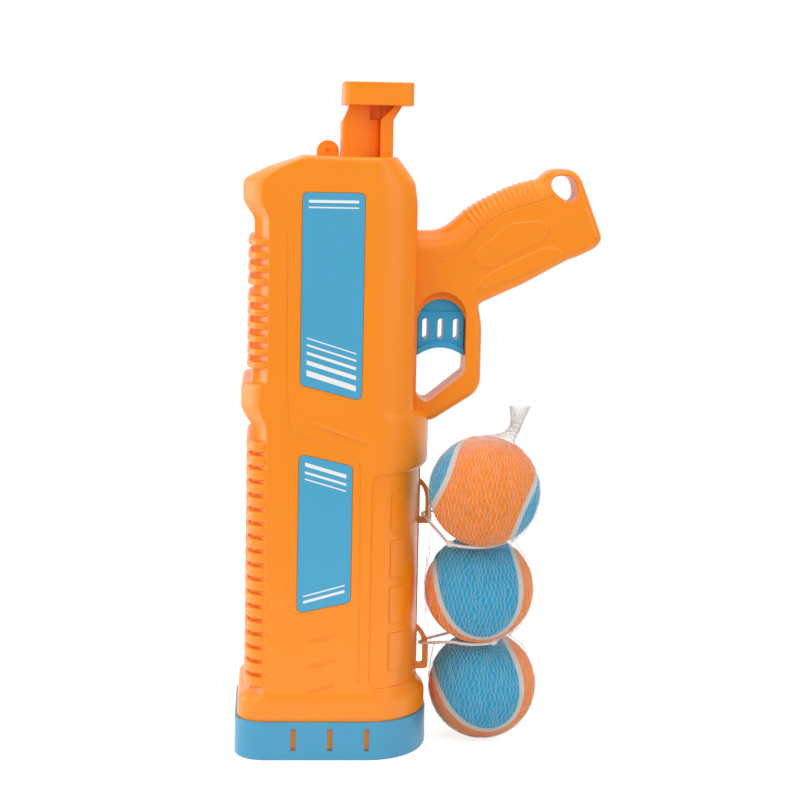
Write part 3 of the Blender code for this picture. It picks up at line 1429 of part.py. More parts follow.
def tie(name, neck, height):
    """A nylon tie from inside a sling loop round a neck of the net."""
    start = Vector((LOWER_RIGHT + (LOOP_REACH - LOOP_BAR + GAP) / 2, 0.0))
    bend = start + Vector((TIE_BEND_R, 0.0))
    middle = Vector(neck[:2])
    turn_r = NET_NECK_R + NET_WALL + TIE_GAP + TIE_R
    between = middle - bend
    heading = atan2(between.y, between.x)
    side = acos((TIE_BEND_R - turn_r) / between.length)
    bend_points = arc(bend, TIE_BEND_R, heading + side, heading + 2 * pi - side, TIE_BEND_STEPS)
    turn_points = arc(middle, turn_r, heading - side, heading + side, TIE_TURN_STEPS)
    shares = [step / TIE_RUN_STEPS for step in range(1, TIE_RUN_STEPS)]
    run_out = [Vector(bend_points[-1]).lerp(Vector(turn_points[0]), share) for share in shares]
    run_back = [Vector(turn_points[-1]).lerp(Vector(bend_points[0]), share) for share in shares]
    toward = between.normalized()
    level = TIE_LEVEL_SHARE * (Vector(turn_points[0]) - start).dot(toward)
    points = []
    for place in bend_points + run_out + turn_points + run_back:
        share = min(max((Vector(place) - start).dot(toward) / level, 0.0), 1.0)
        points.append((place[0], place[1], fraction(height, neck[2], share * share * (3 - 2 * share))))
    return tube(name, points, TIE_R, closed=True, sides=1)


def ties():
    """Both ties."""
    lower, upper = necks()
    return [
        tie("upper_tie", upper, UPPER_LOOP_LOW + LOOP_BAR + UPPER_TIE_LIFT),
        tie("lower_tie", lower, LOWER_LOOP_LOW + LOOP_BAR + LOWER_TIE_LIFT),
    ]


def springs():
    """The main spring round the rod and the small one over the lever's tail."""
    main = coil(
        "main_spring", BORE_X, SPRING_R, SPRING_WIRE_R, SPRING_LOW + GAP, SEAT_LOW - GAP, SPRING_TURNS
    )
    small_low = SEAR_TAIL_LOW + SEAR_TAIL_THICK + GAP
    small = coil(
        "sear_spring", SEAR_SPRING_X, SEAR_SPRING_R, SEAR_WIRE_R, small_low, LEDGE_LOW - GAP,
        SEAR_SPRING_TURNS,
    )
    return main, small


def carrier(name, place, parent=None):
    """An empty on a moving piece's axis."""
    empty = bpy.data.objects.new(name, None)
    empty.location = place
    empty.parent = parent
    launcher.objects.link(empty)
    return empty


def finish(item, colour, roughness, metallic, parent):
    """Give a piece its material and shading, and hang it on its carrier."""
    material = bpy.data.materials.new(item.name)
    material.use_nodes = True
    shader = material.node_tree.nodes["Principled BSDF"]
    shader.inputs["Base Color"].default_value = colour
    shader.inputs["Roughness"].default_value = roughness
    shader.inputs["Metallic"].default_value = metallic
    item.data.materials.clear()
    item.data.materials.append(material)
    item.data.shade_smooth()
    item.data.set_sharp_from_angle(angle=radians(35.0))
    tools.objects.unlink(item)
    launcher.objects.link(item)
    item.parent = parent
    if parent.parent:
        item.location = [-place for place in parent.location]


def bottom_centre(items):
    """The middle of the floor of the box round some objects, before they are shifted."""
    corners = [vertex.co for item in items for vertex in item.data.vertices]
    low = [min(corner[axis] for corner in corners) for axis in range(3)]
    high = [max(corner[axis] for corner in corners) for axis in range(3)]
    return Vector(((low[0] + high[0]) / 2, (low[1] + high[1]) / 2, low[2]))


def build():
    """Make every piece, with its look and its carrier."""
    frame = carrier("launcher_origin", (0.0, 0.0, 0.0))
    plunger = carrier("plunger_slide", (BORE_X, 0.0, 0.0), frame)
    sear = carrier("sear_pivot", (SEAR_X, 0.0, SEAR_Z), frame)
    pull = carrier("trigger_slide", (TRIGGER_X, 0.0, TRIGGER_LOW), frame)
    pack = carrier("ball_pack_swivel", (PACK_AXIS_X, 0.0, 0.0), frame)
    head, seal, buffer, plunger_screw, rod, pin = plunger_parts()
    main_spring, small_spring = springs()
    balls_made = balls()
    looks = [
        (housing_halves(), ORANGE, 0.35, 0.0, frame),
        ([muzzle_ring()], BLUE, 0.35, 0.0, frame),
        ([trigger()], BLUE, 0.35, 0.0, pull),
        (labels(), BLUE, 0.3, 0.0, frame),
        ([barrel_tube()], GREY, 0.4, 0.0, frame),
        ([ball_retainer()], RUBBER, 0.8, 0.0, frame),
        ([head], GREY, 0.45, 0.0, plunger),
        ([seal, buffer], RUBBER, 0.8, 0.0, plunger),
        ([plunger_screw, rod, pin], STEEL, 0.3, 1.0, plunger),
        ([cocking_handle()], ORANGE, 0.35, 0.0, plunger),
        ([spring_seat()], STEEL, 0.35, 1.0, frame),
        ([main_spring, small_spring], STEEL, 0.3, 1.0, frame),
        ([sear_lever()], STEEL, 0.4, 1.0, sear),
        ([sear_pin()], STEEL, 0.3, 1.0, frame),
        (housing_screws(), STEEL, 0.3, 1.0, frame),
        (balls_made[:2], FELT_BLUE, 0.95, 0.0, pack),
        (balls_made[2:], FELT_ORANGE, 0.95, 0.0, pack),
        ([net_sleeve(), *ties()], WHITE, 0.5, 0.0, pack),
    ]
    made = []
    for items, colour, roughness, metallic, parent in looks:
        for item in items:
            finish(item, colour, roughness, metallic, parent)
            made.append(item)
    middle = bottom_centre(made)
    frame.location = -middle
    print("origin lies at", [round(value / MM, 3) for value in middle], "mm in the bore's frame")


def collection(name):
    """A new collection in the scene."""
    made = bpy.data.collections.new(name)
    bpy.context.scene.collection.children.link(made)
    return made


for leftover in list(bpy.data.objects):
    bpy.data.objects.remove(leftover)
launcher = collection("tennis_ball_launcher")
tools = collection("tools")
build()
bpy.data.collections.remove(tools)
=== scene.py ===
"""A spring launcher for tennis balls in orange and blue plastic, with three felt balls in a net.

Places are worked out in the bore's frame, where the barrel stands upright at BORE_X with the muzzle
down, and each finished piece is set down in the part's own frame.
"""
from collections import namedtuple
from math import acos, atan2, cos, hypot, pi, radians, sin, sqrt, tan

import bmesh
import bpy
from mathutils import Matrix, Vector, noise


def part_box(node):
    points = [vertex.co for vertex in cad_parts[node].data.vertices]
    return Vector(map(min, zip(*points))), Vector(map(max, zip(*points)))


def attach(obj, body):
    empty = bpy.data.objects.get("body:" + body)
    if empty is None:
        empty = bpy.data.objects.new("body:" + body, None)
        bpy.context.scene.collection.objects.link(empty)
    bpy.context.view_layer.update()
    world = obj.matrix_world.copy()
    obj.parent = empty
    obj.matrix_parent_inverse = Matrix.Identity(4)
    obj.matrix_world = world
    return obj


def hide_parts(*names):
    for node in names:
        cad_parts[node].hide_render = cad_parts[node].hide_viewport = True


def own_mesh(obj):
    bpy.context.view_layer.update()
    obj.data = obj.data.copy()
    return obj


MM = 0.001


def scaled(rows):
    """Rows of sizes given in millimetres, in metres."""
    return [tuple(value * MM for value in row) for row in rows]


# General fits
GAP = 0.3 * MM
RUNNING_GAP = 0.5 * MM
OVERRUN = 4.0 * MM
STEP = 0.4 * MM
WALL = 2.5 * MM
RIB_WALL = 2.5 * MM
PIN_CLEARANCE = 0.3 * MM
MERGE = 1e-6
SHARP_ANGLE = 38.0
TIGHTEST_TURN = 0.4
EASE_LIMIT = 0.46
EASE_STEPS = 3

# Ball and bore
BALL_R = 31.75 * MM
BALL_SLACK = 0.85 * MM
BORE_R = BALL_R + BALL_SLACK
BORE_X = -1.5 * MM
BARREL_WALL = 1.6 * MM
BARREL_R = BORE_R + BARREL_WALL
BARREL_TOP = 186.0 * MM
BARREL_LIP = 0.6 * MM
RETAINER_THICK = 4.0 * MM
RETAINER_BITE = 1.4 * MM
RETAINER_FINGERS = 6
RETAINER_EDGE = 0.5 * MM
FINGER_SHARES = [(-0.1, 0.0), (0.1, 0.0), (0.14, 1.0), (0.32, 1.0), (0.5, 1.0), (0.68, 1.0), (0.86, 1.0)]
HAND_PULL = 5.5 * MM

# Plan of the muzzle ring and of the housing, as seen along the barrel
RING_LEFT = -70.0 * MM
RING_RIGHT_SET = 5.8 * MM
RING_DEPTH_SET = 3.0 * MM
RING_CORNER = 17.0 * MM
RING_HEIGHT = 22.5 * MM
RING_WALL = 1.8 * MM
RING_FLOOR = 2.0 * MM
RING_EDGE = 1.5 * MM
RING_SLOTS = 3
RING_SLOT_WIDTH = 2.9 * MM
RING_SLOT_HEIGHT = 12.9 * MM
RING_SLOT_LOW = 5.8 * MM
RING_SLOT_PITCH = 21.0 * MM
RING_SLOT_FIRST = -36.2 * MM

FLAT_RIGHT = 6.5 * MM
FLARE_LEFT_SET = 1.5 * MM
FLARE_RIGHT_SET = 0.8 * MM
FLARE_DEPTH_SET = 2.0 * MM
FLARE_TOP = 34.0 * MM
FLARE_SLOPE = 5.5 * MM

BARREL_FACE_SPACE = 6.8 * MM
BARREL_FRONT_SPACE = 1.4 * MM
BODY_HALF_DEPTH = BARREL_R + BARREL_FACE_SPACE + WALL
RING_HALF_DEPTH = BODY_HALF_DEPTH + RING_DEPTH_SET
FRONT_EDGE = -53.5 * MM
FRONT_EDGE_BLUNT = 0.9 * MM
COLUMN_LEFT = -61.5 * MM
COLUMN_HALF = 34.0 * MM
LOWER_RIGHT = BORE_X + BARREL_R + BARREL_FRONT_SPACE + WALL
RING_RIGHT = LOWER_RIGHT + RING_RIGHT_SET
UPPER_RIGHT = 30.0 * MM
UPPER_SIDE_HALF = 29.0 * MM
SEAM_FLAT = 2.0 * MM
BLOCK_LEFT = -68.0 * MM
BLOCK_EDGE = -57.7 * MM
BLOCK_HALF = 29.5 * MM
COLLAR_REACH = 4.0 * MM
COLLAR_LOW = 166.0 * MM
COLLAR_TOP = 197.0 * MM
COLLAR_RAMP = 2.5 * MM
COLLAR_SHOULDER = 5.0 * MM
MID_BLOCK_LOW = 192.2 * MM
MID_BLOCK_TOP = 216.5 * MM
TOP_BLOCK_LOW = 309.5 * MM
TOP_BLOCK_TOP = 330.4 * MM
BLOCK_RAMP = 9.5 * MM
BODY_TOP = 344.2 * MM
TOP_LEFT = -34.6 * MM
TOP_RIGHT = 18.2 * MM
TOP_EDGE_SET = 2.4 * MM
TOP_CHAMFER = 1.5 * MM
TOP_SHARES = [(0.0, 0.0, 0.14), (0.5, 0.41, 0.55), (0.92, 0.93, 0.93), (1.0, 1.0, 1.0)]
RAMP_SHARES = [(0.0, 0.0), (0.52, 0.55), (1.0, 1.0)]
LEDGE_SHARES = [(3.0 * MM, 1.0), (1.2 * MM, 0.93), (0.0, 0.7)]
LEVEL_REACH = 2.6 * MM
LEVEL_STEPS = 3
EDGE_STEPS = 7
QUARTER_STEPS = [step / EDGE_STEPS * pi / 2 for step in range(EDGE_STEPS + 1)]
CORNER_STEPS = 10
SIDE_STEPS = 16

# How full each corner is between a straight chamfer (0) and an ellipse (1)
ROUND = 1.0
BLOCK_CORNER_SHARE = 0.25
COLUMN_CORNER_SHARE = -0.45
UPPER_SIDE_SHARE = 0.7

# Ribs of the launcher's top
RIB_TIP = -65.0 * MM
RIB_FLAT_HALF = 27.0 * MM
RIB_HALF = 42.8 * MM
RIB_END = -54.2 * MM
RIB_ROOT = 5.0 * MM
# Each set of ribs: its first rib's middle, the spacing, the count, a rib's height and its edge
RIBS = [
    (44.7 * MM, 8.0 * MM, 18, 6.3 * MM, 2.0 * MM),
    (227.0 * MM, 7.4 * MM, 6, 4.0 * MM, 1.3 * MM),
    (273.8 * MM, 7.4 * MM, 4, 4.0 * MM, 1.3 * MM),
]

# Raised and cut details of the left and right faces
SKIN_CUT = 0.6 * MM
WINDOW_LEFT = 6.4 * MM
WINDOW_LOW = 41.5 * MM
WINDOW_TOP = 166.0 * MM
WINDOW_CORNER = 6.0 * MM
WINDOW_SEAM_SET = 8.0 * MM
WINDOW_PADS = 4
PAD_LEFT = 17.9 * MM
PAD_WIDTH = 9.0 * MM
PAD_HEIGHT = 21.5 * MM
PAD_PITCH = 27.0 * MM
PAD_LOW = 51.9 * MM
PAD_CORNER = 1.6 * MM
PAD_SLANT = 2.6 * MM
MARKS = 3
MARK_LEFT = -28.3 * MM
MARK_LENGTH = 15.5 * MM
MARK_THICK = 1.9 * MM
MARK_RISE = 4.4 * MM
MARK_PITCH = 14.7 * MM
MARK_LOW = 38.6 * MM
MARK_DEPTH = 0.35 * MM
GROOVE_R = 0.4 * MM
GROOVE_PROUD = 0.15 * MM
GROOVE_PATH = scaled([
    (0.8, 44.4), (0.3, 116.7), (-0.3, 171.5), (-6.5, 179.5), (-36.5, 187.4), (-40.3, 192.0), (-42.6, 219.3),
    (-43.0, 300.0),
])
GROOVE_REACH = 5.0 * MM
RIDGE = scaled([(-30.3, 196.2), (7.2, 182.9)])
RIDGE_R = 1.1 * MM
RIDGE_PROUD = 1.0 * MM
RIDGE_STEPS = 12

# Labels, sunk in shallow pockets
LABEL_SUNK = 0.5 * MM
LABEL_THICK = 0.4 * MM
LABEL_EDGE = 0.12 * MM
LABEL_CORNER = 3.0 * MM
CORNER_ARC_STEPS = 8
BAR_MARGIN = 3.4 * MM
BAR_INK = 0.03 * MM
# Each label: its name, its corners, and its printed bars by their height at the left, at the right and width
LABELS = [
    (
        "upper_label",
        scaled([(-35.0, 216.8), (-0.4, 208.2), (-0.4, 324.2), (-35.0, 324.2)]),
        scaled([
            (222.0, 213.4, 3.2), (228.4, 219.8, 2.4), (234.0, 225.4, 1.7), (238.8, 230.2, 1.1),
            (242.9, 234.3, 0.7), (315.6, 315.6, 0.8), (318.6, 318.6, 1.6),
        ]),
    ),
    (
        "lower_label",
        scaled([(-35.0, 85.8), (-4.8, 92.4), (-4.8, 170.8), (-35.0, 177.6)]),
        scaled([
            (91.4, 98.0, 1.6), (95.2, 101.8, 0.8), (170.6, 163.8, 2.2), (166.4, 159.6, 1.4),
            (162.9, 156.1, 0.8),
        ]),
    ),
]

# Grip, from its root on the housing to the heel with the lanyard hole
GRIP_REACH = 107.6 * MM
GRIP_ROOT_LOW = 261.0 * MM
GRIP_RISE = 78.6 * MM
GRIP_HALF = 14.5 * MM
GRIP_EDGE = 4.2 * MM
GRIP_TOP_SHARES = [
    (0.112, 0.527), (0.177, 0.564), (0.250, 0.654), (0.341, 0.739), (0.433, 0.804), (0.516, 0.858),
    (0.571, 0.883), (0.654, 0.911), (0.700, 0.969), (0.736, 0.992), (0.802, 1.000), (0.849, 0.980),
    (0.883, 0.930), (1.000, 0.520), (1.000, 0.483), (0.979, 0.431), (0.873, 0.359), (0.826, 0.338),
    (0.586, 0.154), (0.346, 0.000),
]
GRIP_EASE = 3.4 * MM
BACK_WIDTH = 12.6 * MM
BACK_DROP = 10.0 * MM
BACK_FADE = (0.66, 0.74)
BACK_TURN = (0.2, 0.7)
STRAP_RIBS = 14
STRAP_START_SHARE = 0.25
STRAP_END_SHARE = 0.655
STRAP_RIB_R = 1.55 * MM
STRAP_RIB_PROUD = 0.75 * MM
STRAP_RIB_STEPS = 12
STRAP_RIB_TURN = 10.0
STRAP_TIP_SHARE = 0.35
STRAP_TAPER_START = 0.7
STRAP_GROOVE = scaled([
    (42.5, 287.3), (53.8, 289.5), (60.6, 296.5), (67.3, 304.5), (76.0, 311.4), (84.8, 315.5), (102.4, 320.8),
    (109.3, 323.8),
])
STRAP_GROOVE_R = 0.7 * MM
STRAP_GROOVE_PROUD = 0.25 * MM
THUMB_PANEL = scaled([
    (63.7, 290.6), (83.9, 308.3), (102.8, 310.5), (107.8, 306.2), (104.2, 298.2), (86.5, 290.1),
    (74.8, 282.0), (64.9, 282.8),
])
FRONT_LIP = scaled([
    (66.4, 269.0), (66.4, 273.2), (70.4, 278.0), (90.8, 288.6), (105.5, 295.3), (111.6, 294.6),
    (117.0, 291.0), (93.0, 278.6),
])
PANEL_PROUD = 0.55 * MM
PANEL_SLOPE = 1.3 * MM
PANEL_EASE = 4.0 * MM
PANEL_LEVELS = (0.0, 0.5, 0.85, 1.0)
LANYARD_SHARES = (0.795, 0.858)
LANYARD_HOLE_R = 7.0 * MM
LANYARD_RIM = 2.2 * MM
LANYARD_HOLE = scaled([
    (107.2, 330.0), (108.6, 334.6), (113.0, 335.8), (119.4, 335.2), (122.4, 330.6), (123.2, 324.0),
    (119.8, 320.2), (115.0, 321.8), (109.4, 326.0),
])
LANYARD_EASE = 3.0 * MM
LANYARD_LIP = 1.7 * MM

# Trigger guard and its opening
GUARD_LEFT = 32.2 * MM
GUARD_WIDTH = 28.2 * MM
GUARD_BAR = 9.3 * MM
GUARD_LOW = 204.4 * MM
GUARD_HEEL = 11.4 * MM
GUARD_CORNER_RISE = 16.8 * MM
GUARD_ARCH_CENTRE = 253.8 * MM
GUARD_WEB_SET = 4.4 * MM
GUARD_WEB_DEPTH = 5.0 * MM
GUARD_FOOT_WIDTH = 3.4 * MM
GUARD_CHAMFER = 4.2 * MM
GUARD_RIM = 2.0 * MM
ARCH_STEPS = 20

# Sling loops on the front of the lower housing
LOOP_BAR = 3.3 * MM
LOOP_REACH = 7.1 * MM
LOOP_HEIGHT = 26.1 * MM
LOOP_HALF = 2.5 * MM
LOOP_ROOT = 1.6 * MM
LOOP_EASE = 2.6 * MM
LOOP_EDGE = 0.9 * MM
UPPER_LOOP_SHARE = 4.113
LOWER_LOOP_SHARE = 1.345
UPPER_LOOP_LOW = BALL_R * UPPER_LOOP_SHARE
LOWER_LOOP_LOW = BALL_R * LOWER_LOOP_SHARE
LOOP_BEND_SHARES = [(0.0, 1.0), (0.16, 1.0), (0.60, 0.86), (0.90, 0.70), (1.0, 0.56)]

# Round lug on the rear end
LUG_X = -20.4 * MM
LUG_R = 6.3 * MM
LUG_RISE = 2.6 * MM
LUG_HALF = 4.0 * MM
LUG_EDGE = 0.8 * MM
LUG_DIMPLE_R = 1.6 * MM
LUG_DIMPLE_DEPTH = 1.0 * MM
LUG_STEPS = 24

# Walls across the inside of the housing
BULKHEAD_FIRST = 30.0 * MM
BULKHEAD_PITCH = 80.0 * MM
BULKHEADS = 2
BARREL_STOP_R = 31.0 * MM
STEM_GUIDE_LOW = 300.0 * MM

# Cocking handle
STEM_LEFT = -13.2 * MM
STEM_RIB_LEFT = 9.0 * MM
STEM_RIB_RIGHT = 16.2 * MM
STEM_WEB_HALF = 9.5 * MM
STEM_WEB_THIN = 7.2 * MM
STEM_FOLD = -2.7 * MM
STEM_CORNER = 3.2 * MM
STEM_RIB_HALF = 16.0 * MM
STEM_RIB_EDGE = 0.6 * MM
STEM_FOOT = 243.0 * MM
STEM_EASE = 7.0 * MM
BAR_LEFT = -12.3 * MM
BAR_RIGHT = 27.3 * MM
BAR_LOW = 373.2 * MM
BAR_HEIGHT = 12.8 * MM
BAR_HALF = 24.0 * MM
BAR_CORNER = 4.5 * MM
BAR_EDGE = 1.1 * MM
STEM_NECK = 11.0 * MM
STEM_NECK_SET = 5.0 * MM
GUSSET_RISE = 8.0 * MM
GUSSET_REACH = 5.0 * MM
GUSSET_WIDTH = 4.4 * MM
NOOK_LEFT = 3.0 * MM
NOOK_DEPTH = 4.0 * MM
NOOK_BACK_HALF = 5.0 * MM
ROD_SOCKET_DEPTH = 23.0 * MM
ROD_PIN_R = 1.5 * MM
ROD_PIN_RISE = 11.0 * MM
ROD_R = 6.0 * MM

# Plunger's pad, and the seats of what is inside
CHAMBER_TOP = 70.0 * MM
BUFFER_THICK = 2.4 * MM
BUFFER_R = 26.0 * MM
BUFFER_EDGE = 0.6 * MM
SEAT_LOW = 219.0 * MM
SEAT_THICK = 3.0 * MM
SEAT_BUSH_R = 9.0 * MM
SEAR_X = 22.0 * MM
SEAR_Z = 262.0 * MM
SEAR_HALF = 3.0 * MM
SEAR_TAIL_LOW = 274.5 * MM
SEAR_TAIL_THICK = 6.0 * MM
SEAR_PIN_R = 2.0 * MM
SEAR_PIN_HALF = 8.0 * MM
SEAR_BOSS_R = 4.6 * MM
SPRING_R = 12.4 * MM
SPRING_WIRE_R = 1.3 * MM
SPRING_TURNS = 9
SPRING_TURN_STEPS = 20
SPRING_SIDES = 3
SEAR_SPRING_R = 2.6 * MM
SEAR_WIRE_R = 0.45 * MM
SEAR_SPRING_TURNS = 6
SEAL_THICK = 2.5 * MM
SEAL_EDGE = 0.6 * MM
SEAR_SPRING_X = 46.0 * MM
SEAR_SPRING_LENGTH = 11.6 * MM
SPRING_LEDGE_HALF = 3.6 * MM
SPRING_LEDGE_THICK = 2.0 * MM

# Trigger
TRIGGER_HALF = 8.0 * MM
TRIGGER_LOW = 230.8 * MM
TRIGGER_TOP = 266.0 * MM
TRIGGER_BOW = 4.6 * MM
TRIGGER_RIM = 3.6 * MM
TRIGGER_RIM_HALF = 9.6 * MM
TRIGGER_RIM_EDGE = 1.2 * MM
TRIGGER_STEP_Z = 256.3 * MM
TRIGGER_STEP_DEPTH = 1.1 * MM
TRIGGER_SLOTS = 3
TRIGGER_SLOT_WIDTH = 3.6 * MM
TRIGGER_SLOT_LOW = 239.9 * MM
TRIGGER_SLOT_HEIGHT = 12.2 * MM
TRIGGER_SLOT_PITCH = 8.9 * MM
TONGUE_X = 50.0 * MM
TONGUE_WIDTH = 6.0 * MM
TONGUE_HALF = 3.0 * MM
EAR_REACH = 1.6 * MM
EAR_HEIGHT = 4.0 * MM

# Screws that close the housing
SCREW_R = 1.5 * MM
SCREW_HEAD_R = 3.0 * MM
SCREW_HEAD = 2.2 * MM
SCREW_HEAD_DOME = 0.7 * MM
SCREW_LENGTH = 17.0 * MM
SCREW_SEAT = 7.0 * MM
CROSS_LENGTH = 3.6 * MM
CROSS_WIDTH = 0.8 * MM
CROSS_DEPTH = 1.2 * MM
BOSS_R = 5.0 * MM
BODY_SCREW_X = -48.0 * MM
BODY_SCREW_FIRST = 30.0 * MM
BODY_SCREW_PITCH = 72.0 * MM
BODY_SCREWS = 5
GRIP_SCREW_SHARES = [(0.36, 0.42), (0.60, 0.60)]
ROUND_STEPS = 96
SMALL_STEPS = 28

# Balls, from the lowest up; the shares are of a ball's radius, in X and Y
BALL_SPACE = 0.8 * MM
BALL_SHIFT_SHARES = [(-0.0175, 0.0), (-0.1775, -0.532), (-0.193, -1.165)]
BALL_DETAIL = 6
SEAM_WAIST = 2.5
SEAM_HALF = 2.3 * MM
SEAM_SINK = 0.45 * MM
SEAM_SLOPE_FLOOR = 0.3
NAP_SIZE = 1.6 * MM
NAP_RISE = 0.16 * MM
# Each ball's turn as the camera sees it: tip of its front lobe, lean of that lobe, and its colour
BALL_TURNS = [(78.0, 114.0, 1.0), (70.0, 101.0, 1.0), (4.0, 247.0, -1.0)]
BALL_SLOTS = ["blue_felt", "blue_felt", "orange_felt"]

# Net and ties
NET_GAP = 0.7 * MM
NET_SAG = 0.5 * MM
NET_WALL = 0.5 * MM
NET_CLEAR = 0.55 * MM
NET_NECK_SHARE = 0.46
NET_NECK_R = BALL_R * NET_NECK_SHARE
NET_NECK_SHIFT_SHARES = [-0.17, -0.16]
NET_LATITUDES = [-62.0, -45.0, -30.0, -15.0, 0.0, 15.0, 30.0, 45.0, 62.0]
# The real mesh is finer, and would turn to haze; its strands and knots are drawn wider apart
NET_STRANDS = 76
NET_PITCH = 3.6 * MM
NET_STRAND_R = 0.06 * MM
NET_KNOT_R = 0.14 * MM
NET_STRAND_SIDES = 3
NET_KNOT_SIDES = 4
NET_STRAY = 2.1 * MM
NET_STRAY_SIZE = 6.0 * MM
NET_SEED = 5
NET_WEB_SHARE = 0.95
NET_WEB_BACK_SHARE = 0.3
NET_WEB_TURN = 205.0
NET_WEB_POWER = 2
NET_FOOT_R = 2.2 * MM
NET_TAIL_R = 2.6 * MM
NET_TAIL_LIFT = 2.2 * MM
NET_TAIL_NECK = 3.0 * MM
NET_TAIL_X = 17.0 * MM
NET_FAN_R = 6.0 * MM
NET_FAN_RISE = 15.0 * MM
NET_FAN_X = 19.0 * MM
NET_SMOOTHING = 3
TIE_R = 0.9 * MM
TIE_GAP = 0.4 * MM
TIE_TURN_STEPS = 40
TIE_BEND_STEPS = 14
TIE_RUN_STEPS = 8
TIE_BEND_R = 8.0 * MM
TIE_SIDES = 4
TIE_TILT = 0.05
UPPER_TIE_LIFT = 2.0 * MM
LOWER_TIE_LIFT = 12.0 * MM
TIE_HEAD_LENGTH = 4.2 * MM
TIE_HEAD_WIDTH = 3.2 * MM
TIE_HEAD_EDGE = 0.7 * MM
UPPER_HEAD_STEPS = 2
LOWER_HEAD_STEPS = 16

# Camera, floor and light
CAMERA_PLACE = Vector((-52.2 * MM, -1148.8 * MM, 354.0 * MM))
CAMERA_TILT = 7.46
CAMERA_ROLL = 1.2
CAMERA_YAW = 3.8
CAMERA_LENS = 89.33
CAMERA_SENSOR = 36.0
CAMERA_CLIP = 0.01
FLOOR_HALF = 0.9
FLOOR_BACK = 0.45
FLOOR_DROP = 0.2 * MM
BACKGROUND_WHITE = 1.0
FLOOR_GLOW = 0.75
WORLD_LIGHT = 0.6
ROOM_LIGHT = 0.1
ROOM_START = -0.1
ROOM_END = 0.6
LAMP_AIM = (0.0, 0.0, 0.2)
# Each lamp: its name, place, width, height and power
LAMPS = [
    ("front fill", (0.1, -1.9, 1.7), 1.6, 0.9, 5.6),
    ("left rim softbox", (-1.6, 0.5, 0.35), 0.8, 1.5, 11.0),
    ("left softbox", (-1.3, -0.9, 0.9), 1.0, 1.4, 7.5),
    ("right softbox", (1.2, -1.1, 0.7), 0.9, 1.3, 4.7),
    ("top softbox", (0.0, -0.2, 1.6), 1.2, 1.0, 8.0),
]
Plan = namedtuple("Plan", "left half edge deep corner_share right side_half side_share")


def fraction(start, end, share):
    """The value that lies the given share of the way from start to end."""
    return start + (end - start) * share


def smooth_share(value, low, high):
    """How far a value is from low to high, eased at both ends and held within 0 and 1."""
    share = min(max((value - low) / (high - low), 0.0), 1.0)
    return share * share * (3 - 2 * share)


def link(data, name="tool"):
    """A new object with this mesh, curve, camera or lamp."""
    item = bpy.data.objects.new(name, data)
    bpy.context.scene.collection.objects.link(item)
    return item


def from_bmesh(bm):
    """A new object from a bmesh, with its faces pointing out."""
    bmesh.ops.recalc_face_normals(bm, faces=bm.faces)
    mesh = bpy.data.meshes.new("tool")
    bm.to_mesh(mesh)
    bm.free()
    return link(mesh)


def evaluated_mesh(item):
    """The mesh that an object shows with its modifiers."""
    bpy.context.view_layer.update()
    graph = bpy.context.evaluated_depsgraph_get()
    return bpy.data.meshes.new_from_object(item.evaluated_get(graph))


def baked(item):
    """Replace an object by a plain mesh object in the same place, its doubles merged."""
    mesh = evaluated_mesh(item)
    mesh.transform(item.matrix_world)
    bpy.data.objects.remove(item)
    bm = bmesh.new()
    bm.from_mesh(mesh)
    bmesh.ops.remove_doubles(bm, verts=bm.verts, dist=MERGE)
    return from_bmesh(bm)


def combine(target, tool, operation):
    """Join a tool to an object or cut it out, and remove the tool."""
    modifier = target.modifiers.new(operation.title(), "BOOLEAN")
    modifier.operation = operation
    modifier.solver = "EXACT"
    modifier.object = tool
    mesh = evaluated_mesh(target)
    target.modifiers.remove(modifier)
    target.data = mesh
    bpy.data.objects.remove(tool)
    return target


def cut(target, *cutters):
    """Cut each tool out of an object."""
    for cutter in cutters:
        combine(target, cutter, "DIFFERENCE")
    return target


def join(target, *additions):
    """Fuse each tool to an object."""
    for addition in additions:
        combine(target, addition, "UNION")
    return target


def group(*items):
    """One tool made of several that don't meet."""
    bm = bmesh.new()
    for item in items:
        bm.from_mesh(item.data)
        bpy.data.objects.remove(item)
    return from_bmesh(bm)


def loft(loops):
    """A closed solid through loops of equally many points, with a cap on the first and the last."""
    bm = bmesh.new()
    rings = [[bm.verts.new(point) for point in loop] for loop in loops]
    for low, high in zip(rings, rings[1:]):
        for index, corner in enumerate(low):
            following = (index + 1) % len(low)
            bm.faces.new((corner, low[following], high[following], high[index]))
    for ring in (rings[0], rings[-1]):
        edges = [bm.edges.get((corner, ring[index - 1])) for index, corner in enumerate(ring)]
        bmesh.ops.triangle_fill(bm, edges=edges, use_beauty=True)
    bmesh.ops.remove_doubles(bm, verts=bm.verts, dist=MERGE)
    return from_bmesh(bm)


def slab(outline, low, high):
    """A flat outline in X and Y, as thick as from low to high."""
    curve = bpy.data.curves.new("outline", "CURVE")
    curve.dimensions = "2D"
    curve.fill_mode = "BOTH"
    curve.extrude = (high - low) / 2
    spline = curve.splines.new("POLY")
    spline.points.add(len(outline) - 1)
    for point, (x, y) in zip(spline.points, outline):
        point.co = (x, y, 0.0, 1.0)
    spline.use_cyclic_u = True
    item = link(curve)
    item.location.z = (low + high) / 2
    return baked(item)


def plate(outline, low, high):
    """A flat outline in X and Z, as thick as from low to high along Y."""
    item = slab(outline, -high, -low)
    item.rotation_euler.x = pi / 2
    return baked(item)


def box(low, high):
    """A box between two corners."""
    bm = bmesh.new()
    size = [end - start for start, end in zip(low, high)]
    centre = [(start + end) / 2 for start, end in zip(low, high)]
    bmesh.ops.create_cube(bm, size=1.0, matrix=Matrix.LocRotScale(centre, None, size))
    return from_bmesh(bm)


